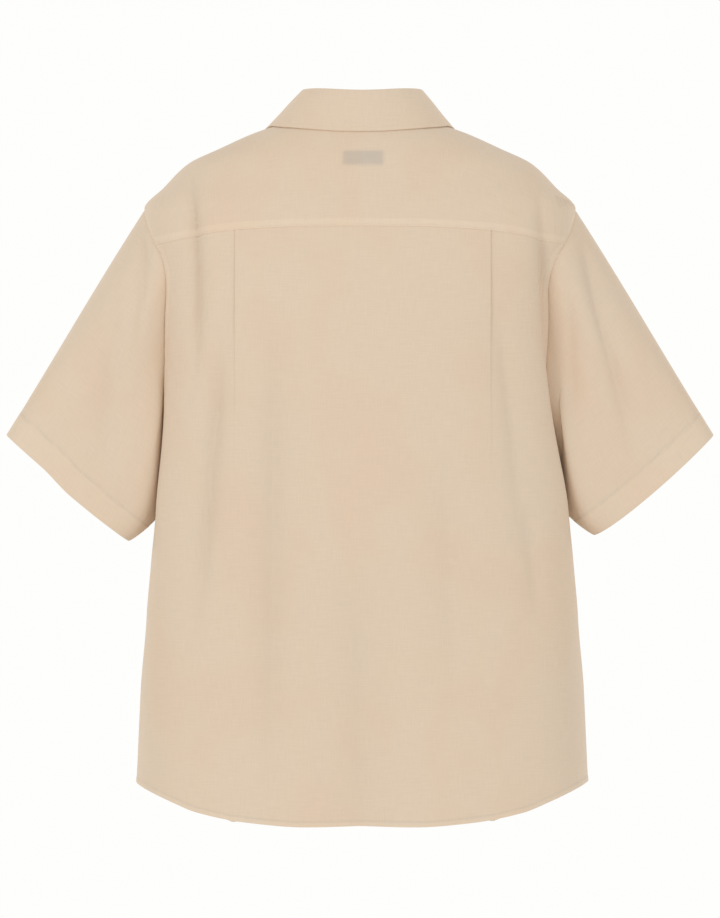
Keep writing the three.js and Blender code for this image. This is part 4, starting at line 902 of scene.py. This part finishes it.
def sleeve_grid(side, row, v):
    """Points of a sleeve for armhole rows (across) and parts v of its length (down)."""
    behind = np.mod(row, ROUND) <= UNDERARM
    mirror = np.where(behind, np.mod(row, ROUND), ROUND - np.mod(row, ROUND))
    lead_x, lead_y, lead_z, end_x, end_y, end_z = (
        value(mirror) for value in curves(SLEEVE_LEAD, "row", "x y z end_x end_y end_z"))
    start, _, out = form_frame(*apart(armhole_place(row, side)))
    lead = np.stack([lead_x * side, lead_y * np.where(behind, 1, -1), lead_z], -1)
    arrive = np.stack([end_x * side, end_y * np.where(behind, 1, -1), end_z], -1)
    angle = cuff_turn(row)
    centre = SLEEVE["centre"]
    flat_sine = np.sign(np.sin(angle)) * np.abs(np.sin(angle)) ** SLEEVE["flatness"]
    end = np.stack([(centre[0] + SLEEVE["reach_x"] * np.cos(angle)) * side,
                    centre[1] + SLEEVE["half_depth"] * flat_sine,
                    centre[2] + SLEEVE["reach_z"] * np.cos(angle)], -1)
    part = (1 - np.cos(angle)) / 2
    bow = smooth((part - CUFF_EDGE["start"][side]) / CUFF_EDGE["rise"]) * np.sin(angle) ** 2
    reach = unit(np.array([SLEEVE["reach_x"] * side, 0, SLEEVE["reach_z"]]))
    under = part ** 8
    end = end + reach * (CUFF_EDGE["draw_in"][side] * under)[:, None]
    rise = CUFF_EDGE["bow"] * bow - CUFF_EDGE["lift"][side] * under
    end = end + arrive * [1, 0, 1] * rise[:, None]
    slide = unit(lead - out * np.sum(lead * out, -1, keepdims=True))
    length = np.linalg.norm(start - end, axis=-1, keepdims=True)
    lead, arrive = unit(lead) * length, unit(arrive) * length
    w = v[:, None, None]
    points = start * (2 * w ** 3 - 3 * w ** 2 + 1) + lead * (w ** 3 - 2 * w ** 2 + w)
    points = points + end * (3 * w ** 2 - 2 * w ** 3) + arrive * (w ** 3 - w ** 2)
    x = points[..., 0] - section_shift(points[..., 2])
    gap = np.hypot(x, points[..., 1]) - form_radius(np.arctan2(points[..., 1], x), points[..., 2])
    near = np.clip((gap - PRESS["gap"]) / PRESS["reach"], 0, 1)
    free = np.clip((1 - v) / PRESS["free"], 0, 1)[:, None]
    press = smooth((part - PRESS["from"]) / PRESS["rise"]) * free * (1.5 - 0.5 * free ** 2)
    points[..., 0] -= side * PRESS["share"] * PRESS["reach"] * near * (1 - near) * press
    return points, out, slide


def grid_outward(points, sign=1, closed=False):
    """Outward directions of a grid, rows down and columns round."""
    if closed:
        wide = np.concatenate([points[:, -2:-1], points, points[:, 1:2]], 1)
        across = wide[:, 2:] - wide[:, :-2]
    else:
        across = np.gradient(points, axis=1)
    return unit(np.cross(np.gradient(points, axis=0), across)) * sign


sleeve_rows = UNDERARM + ROUND * np.linspace(0, 1, 161)
sleeve_v = graded(290, 3.2, fine=0.9, band=8)
for side, label in ((1, "left"), (-1, "right")):
    points, edge_out, slide = sleeve_grid(side, sleeve_rows, sleeve_v)
    out = grid_outward(points, side, closed=True)
    behind = (np.mod(sleeve_rows, ROUND) < UNDERARM)[None]
    back_depth, front_depth = (
        folds_at(SLEEVE_FOLDS, (SLEEVE_FOLDS["side"] == side) & (SLEEVE_FOLDS["face"] == face),
                 np.abs(points[..., 0]), points[..., 2]) for face in (1, -1))
    depth = np.where(behind, back_depth, front_depth)
    facing = smooth((np.abs(out[..., 1]) - 0.25) / 0.5) * smooth(sleeve_v / 0.08)[:, None]
    points = points - out * (depth * facing)[..., None]
    out = grid_outward(points, side, closed=True)
    from_under, to_under, to_top, to_bottom = from_edges(points)
    away = smooth(to_top / 2)
    lift = pucker(walked(points[:1], 1), to_top, 61 + side, reach=10, height=0.4)
    lift = (lift - 0.35 * smooth(1 - to_top / 3)) * away - 0.35 * (1 - away)
    lift = lift + 0.3 * strip(to_bottom, SLEEVE_HEM, 0.7, 1.5)
    lift = lift - 0.5 * line_hit(to_bottom, SLEEVE_ROW, 0.7)
    shade = FOLD_SHADE * depth + SEAM_SHADE * line_hit(to_bottom, SLEEVE_ROW, 0.9)
    lift = lift + pucker(walked(points[-1:], 1), to_bottom - SLEEVE_HEM, 71 + side, reach=9, height=0.35)
    lift = lift - 0.4 * line_hit(np.minimum(from_under, to_under), 0, 1.1)
    points = points + out * lift[..., None]
    tucked = points[:1] - (slide * SLEEVE_TUCK + edge_out * 0.35)[None]
    points = np.concatenate([tucked, points])
    out = np.concatenate([out[:1], out])
    to_bottom = np.concatenate([to_bottom[:1] + SLEEVE_TUCK, to_bottom])
    shade = np.concatenate([shade[:1], shade])
    hem = strip(to_bottom, SLEEVE_HEM, *HEM_BLUR)
    turns = walked(points, 1)
    middle = turns.shape[1] // 2
    uv = np.stack([(turns - turns[:, middle:middle + 1]) * side, to_bottom], -1)
    sleeve = add_sheet(f"sleeve_{label}_cloth", points, body_cloth, uv,
                       {"double": hem * 0.5, "shade": shade},
                       wall=1.1, thick=0.45 + 0.55 * hem, closed=True, flip=side < 0)
    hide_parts(f"sleeve_{label}")
    add_stitches(f"sleeve_{label}_stitches", points, out, (to_bottom, SLEEVE_ROW))

# The collar stand: a stiffened double band that stands on the neckline, its left end lapped over
# its right end and buttoned.
COLLAR = table(
    "angle stand lean shift edge_angle edge_z lift",
    (90, 26.8, 8, -2.4, 90, -19, 2.2), (76, 26.85, 8.2, -2.4, 76, -18.7, 2.2),
    (60, 27.2, 8.9, -2.4, 60, -17.2, 2.2),
    (32, 28, 10.2, -2.4, 33, -13, 2.4), (5, 28.6, 11, -2.4, 8, -9, 2.6),
    (-8, 28.6, 10.6, -2.3, -4, -11, 2.6), (-24, 28.5, 8.6, -2, -16, -24, 2.6),
    (-57, 28.5, 5, -0.8, -38, -64, 2.8), (-90, 28, 3, 0, -64, -110, 2.8),
)
STAND = {"clearance": 0.48, "overlap": 15, "underlap": 2.1, "bow": 1.5, "rounding": 11}
STAND_LAP_STEPS = 12
collar_height, collar_lean, collar_shift, edge_angle, edge_z, edge_lift = curves(
    COLLAR, "angle", "stand lean shift edge_angle edge_z lift")
collar_cloth = cloth_material("collar_cloth", [1.02 * c for c in CLOTH_TONE])
COLLAR_WALL = 1.3


def collar_angles(end, step=1.3):
    half = np.linspace(90, end, round((90 - end) / step) + 1)
    return np.concatenate([half[::-1], half[1:]]), np.concatenate([half * 0 + 1, half[1:] * 0 - 1])


def stand_section(angle, side):
    foot = plain_point(*apart(neckline_place(angle)))
    inward = unit(np.stack([-foot[:, 0], -foot[:, 1], 0 * angle], -1))
    foot = foot + np.array([0, 0, STAND["clearance"]])
    head = foot + inward * collar_lean(angle)[:, None]
    head[:, 2] += collar_height(angle)
    flipped = np.stack([side, 0 * side + 1, 0 * side + 1], -1)
    head = head * flipped
    head[:, 0] += collar_shift(angle)
    return foot * flipped, head, inward * flipped


angles, sides = collar_angles(-90)
foot, head, inward = stand_section(angles, sides)
sink = STAND["underlap"] * smooth((-angles - 45) / 35) * (sides < 0)
foot, head = foot + inward * sink[:, None], head + inward * sink[:, None]
lap_x = np.linspace(0, STAND["overlap"], STAND_LAP_STEPS + 1)[1:]


def lapped(line, moved=True):
    """A line along the stand, carried on over its two lapped ends."""
    ends = [np.repeat(end, STAND_LAP_STEPS, 0) for end in (line[:1], line[-1:])]
    if moved:
        ends[0][:, 0], ends[1][:, 0] = -lap_x[::-1], lap_x
    return np.concatenate([ends[0], line, ends[1]])


foot, head, inward = lapped(foot), lapped(head), lapped(inward, moved=False)
beside = np.abs(np.concatenate([-lap_x[::-1], 0 * angles, lap_x]))
past = np.maximum(beside - STAND["overlap"] + STAND["rounding"], 0)
drop = STAND["rounding"] - np.sqrt(np.maximum(STAND["rounding"] ** 2 - past ** 2, 0))
head[:, 2] -= drop
stand_t = np.linspace(0, 1, 22)[:, None, None]
stand_points = head + (foot - head) * stand_t - inward * STAND["bow"] * np.sin(np.pi * stand_t)
stand_out = -np.repeat(inward[None], len(stand_points), 0)
stand = add_sheet("collar_stand_cloth", stand_points, collar_cloth, wall=COLLAR_WALL)
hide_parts("collar_stand")
to_bottom = from_edges(stand_points)[3]
add_stitches("collar_stand_stitches", stand_points, stand_out, (to_bottom, EDGE_ROW))

# The collar fall: a stiffened double piece folded over the head of the stand and laid down over
# the yoke and the fronts to two points, stitched round its edge.
FALL_ROLL = table("out up", (-1.4, 1.9), (0.4, 2.1), (2.4, 1))
FALL_DROP = table("part bow", (0.3, 0.5), (0.65, 0.1), (1, 0))
FALL_END = -86.5
FALL_STITCH = 5.5
FALL_SETTLE = 0.7
FALL_LIFT_MOST = 1.6
angles, sides = collar_angles(FALL_END, 1.1)
foot, head, inward = stand_section(angles, sides)
controls = [head - inward * out + np.array([0, 0, up])
            for out, up in zip(FALL_ROLL["out"], FALL_ROLL["up"])]
plan = np.radians(edge_angle(angles))
edge, _, edge_out = form_frame(turn_of_angle(plan), edge_z(angles))
edge = edge + edge_out * np.minimum(edge_lift(angles) - FALL_SETTLE, FALL_LIFT_MOST)[:, None]
edge[:, 0] *= sides
way = edge - controls[-1]
faces = unit(np.cross(way, np.stack([-inward[:, 1], inward[:, 0], 0 * angles], -1)))
faces = faces * np.where(faces[:, 2:] < 0, -1, 1)
controls += [controls[-1] + way * part + faces * bow
             for part, bow in zip(FALL_DROP["part"], FALL_DROP["bow"])]
fall_t = np.concatenate([np.linspace(0, 0.4, 12)[:-1], np.linspace(0.4, 1, 34)])
fall_points = spline(np.array(controls), fall_t)
fall_out = grid_outward(fall_points)
to_left, to_right, _, to_bottom = from_edges(fall_points)
to_edge = np.minimum(to_bottom, np.minimum(to_left, to_right))
lift = pucker(walked(fall_points[-1:], 1), to_bottom - FALL_STITCH, 81, reach=6, height=0.12)
lift = lift - 0.25 * line_hit(to_edge, FALL_STITCH, 0.7)
fall_points = fall_points + fall_out * lift[..., None]
fall = add_sheet("collar_fall_cloth", fall_points, collar_cloth, wall=COLLAR_WALL)
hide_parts("collar_fall")
add_stitches("collar_fall_stitches", fall_points, fall_out,
             (to_bottom, FALL_STITCH, False, (0.012, 0.988)),
             *((distance, FALL_STITCH, True, (0.35, 0.93)) for distance in (to_left, to_right)))

# The label: a blank woven tape sewn inside the yoke at the centre back, seen through the cloth.
LABEL_DEPTH = 1.1
label_x = np.linspace(LABEL["half_width"], -LABEL["half_width"], 40) + LABEL["centre"]
label_z = np.linspace(LABEL["top"], LABEL["bottom"], 16)[:, None] + 0 * label_x
label_on, _, out = form_frame(turn_at_x(label_x + 0 * label_z, label_z, 1), label_z)
label_points = label_on - out * LABEL_DEPTH
label_material = cloth_material("label_tape", (0.62, 0.56, 0.5))
label_tape = add_sheet("label_cloth", label_points, label_material, wall=0.4)
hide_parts("label")

# The buttons: flat discs of pale resin with a raised rim and four holes, sewn on the right front
# and passed through bound buttonholes in the left front and in the stand.
BUTTON = {"radius": 5.6, "thickness": 2.4, "rim": 0.9, "rim_width": 1.4, "rim_slope": 0.6, "edge": 0.4,
          "seat": 0.35, "hole": 0.75, "spread": 1.35, "thread": 0.42, "thread_up": 0.2}
FRONT_BUTTONS = {"count": 6, "top": -122, "pitch": 94}
STAND_BUTTON_Z = -59


button_resin = speckled_material("button_resin", (0.72, 0.63, 0.5), (0.86, 0.8, 0.7),
                                 {"Scale": 260.0, "Detail": 3.0, "Distortion": 0.8},
                                 Roughness=0.22, Coat_Weight=0.4)
radius, thickness = BUTTON["radius"] * MM, BUTTON["thickness"] * MM
bpy.ops.mesh.primitive_cylinder_add(vertices=48, radius=radius, depth=thickness,
                                    location=(0, 0, thickness / 2))
model = bpy.context.object
bpy.ops.object.transform_apply(location=True)
bpy.ops.object.mode_set(mode="EDIT")
bpy.ops.mesh.select_all(action="DESELECT")
bpy.ops.object.mode_set(mode="OBJECT")
for face in model.data.polygons:
    face.select = face.normal.z > 0.9
bpy.ops.object.mode_set(mode="EDIT")
bpy.ops.mesh.select_mode(type="FACE")
bpy.ops.mesh.inset(thickness=BUTTON["rim_width"] * MM)
bpy.ops.mesh.inset(thickness=BUTTON["rim_slope"] * MM, depth=-BUTTON["rim"] * MM)
bpy.ops.object.mode_set(mode="OBJECT")
soft = model.modifiers.new("soft_edge", "BEVEL")
soft.width = BUTTON["edge"] * MM
soft.segments = 3
soft.limit_method = "ANGLE"
soft.angle_limit = 0.5
bpy.ops.object.modifier_apply(modifier="soft_edge")
spread = BUTTON["spread"] * MM
for x, y in ((1, 1), (1, -1), (-1, 1), (-1, -1)):
    bpy.ops.mesh.primitive_cylinder_add(vertices=16, radius=BUTTON["hole"] * MM, depth=0.01,
                                        location=(x * spread, y * spread, 0))
    drill = bpy.context.object
    select_only(model)
    cut = model.modifiers.new("hole", "BOOLEAN")
    cut.object = drill
    cut.solver = "EXACT"
    bpy.ops.object.modifier_apply(modifier="hole")
    bpy.data.objects.remove(drill)
bpy.ops.object.shade_smooth_by_angle(angle=0.6)
model.data.materials.append(button_resin)

# The sewing thread of a button: two short bars between its holes, one above the other.
thread_z = (BUTTON["thickness"] - BUTTON["rim"] + BUTTON["thread_up"]) * MM
bars = []
for y in (-1, 1):
    bpy.ops.mesh.primitive_cylinder_add(vertices=10, radius=BUTTON["thread"] * MM, depth=2.4 * spread,
                                        rotation=(0, np.pi / 2, 0), location=(0, y * spread, thread_z))
    bars.append(bpy.context.object)
select_only(*bars)
bar = bars[-1]
bpy.ops.object.join()
bpy.ops.object.transform_apply(location=True, rotation=True, scale=True)
bpy.ops.object.shade_smooth_by_angle(angle=0.6)
bar.data.materials.append(sewing_thread)


def seat_of(point, out):
    """The move that takes the model of a button to a point, facing out and with its holes level."""
    out = Vector(out).normalized()
    turn = Vector((0, 0, 1)).rotation_difference(out)
    up = turn @ Vector((0, 1, 0))
    level = Matrix.Rotation(np.arctan2(up.dot(Vector((1, 0, 0))), up.z), 4, "Z")
    moved = Matrix.Translation(Vector(point) * MM + out * BUTTON["seat"] * MM)
    return moved @ turn.to_matrix().to_4x4() @ level


def add_part(name, source, seat):
    mesh = source.data.copy()
    mesh.name = name
    mesh.transform(seat)
    piece = add_object(name, mesh)
    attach(piece, "root")
    return piece


seats = []
for k in range(FRONT_BUTTONS["count"]):
    z = np.array(float(FRONT_BUTTONS["top"] - k * FRONT_BUTTONS["pitch"]))
    point, _, out = form_frame(turn_at_x(np.array(0.0), z, -1), z)
    seats.append((f"button_{k + 1}", point, out))
section = [part[0] for part in stand_section(np.array([-90.0]), np.array([1.0]))]
down = (section[1][2] - STAND_BUTTON_Z) / (section[1][2] - section[0][2])
spot = mix(section[1], section[0], down) - section[2] * STAND["bow"] * np.sin(np.pi * down)
seats.append(("button_collar", np.array([0, spot[1], spot[2]]), np.array([0, -1, 0])))
for name, point, out in seats:
    disc = add_part(f"{name}_resin", model, seat_of(point, out))
    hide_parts(name)
    add_part(f"{name}_thread", bar, seat_of(point, out))
bpy.data.objects.remove(model)
bpy.data.objects.remove(bar)

# Studio light: a large soft box to each side of the camera and one to each side of the front, over a
# pale paper floor far below, in a white surround.
MIDDLE = Vector((0, 0, -0.35))
LIGHTS = table("x y z energy", (2.4, 3.0, 0.5, 31.5), (-2.4, 3.0, 0.5, 20),
               (2.5, -3.0, 0.5, 25), (-2.5, -3.0, 0.5, 25))
for k, energy in enumerate(LIGHTS["energy"]):
    name = f"soft_box_{k + 1}"
    light = add_object(name, bpy.data.lights.new(name, "AREA"))
    light.data.shape = "DISK"
    light.data.size = 1.6
    light.data.energy = energy
    light.location = (LIGHTS["x"][k], LIGHTS["y"][k], LIGHTS["z"][k])
    light.rotation_euler = (MIDDLE - light.location).to_track_quat("-Z", "Y").to_euler()

bpy.ops.mesh.primitive_plane_add(size=3.0, location=(0, 0, -1.45))
floor = bpy.context.object
floor.name = "floor"
floor_paper, _, _ = new_material("floor_paper", Base_Color=(0.86, 0.86, 0.85, 1), Roughness=0.8)
floor.data.materials.append(floor_paper)

SURROUND = (0.99, 0.99, 0.975, 1)
world = bpy.data.worlds.new("studio")
bpy.context.scene.world = world
world.use_nodes = True
tree = world.node_tree
background = tree.nodes["Background"]
background.inputs["Color"].default_value = SURROUND
background.inputs["Strength"].default_value = 0.74
backdrop = node(tree, "ShaderNodeBackground", (0, -200), Color=SURROUND, Strength=1.0)
seen = node(tree, "ShaderNodeLightPath", (0, 400)).outputs["Is Camera Ray"]
choose = node(tree, "ShaderNodeMixShader", (300, 0), Fac=seen)
tree.links.new(background.outputs[0], choose.inputs[1])
tree.links.new(backdrop.outputs[0], choose.inputs[2])
tree.links.new(choose.outputs[0], tree.nodes["World Output"].inputs["Surface"])
bpy.context.scene.view_settings.view_transform = "Standard"

camera = add_object("photo_camera", bpy.data.cameras.new("photo_camera"))
camera.location = (0, 4.0, -0.356)
camera.rotation_euler = (np.pi / 2, 0, np.pi)
camera.data.sensor_width = 36
camera.data.sensor_fit = "AUTO"
camera.data.lens = 149.4
bpy.context.scene.camera = camera
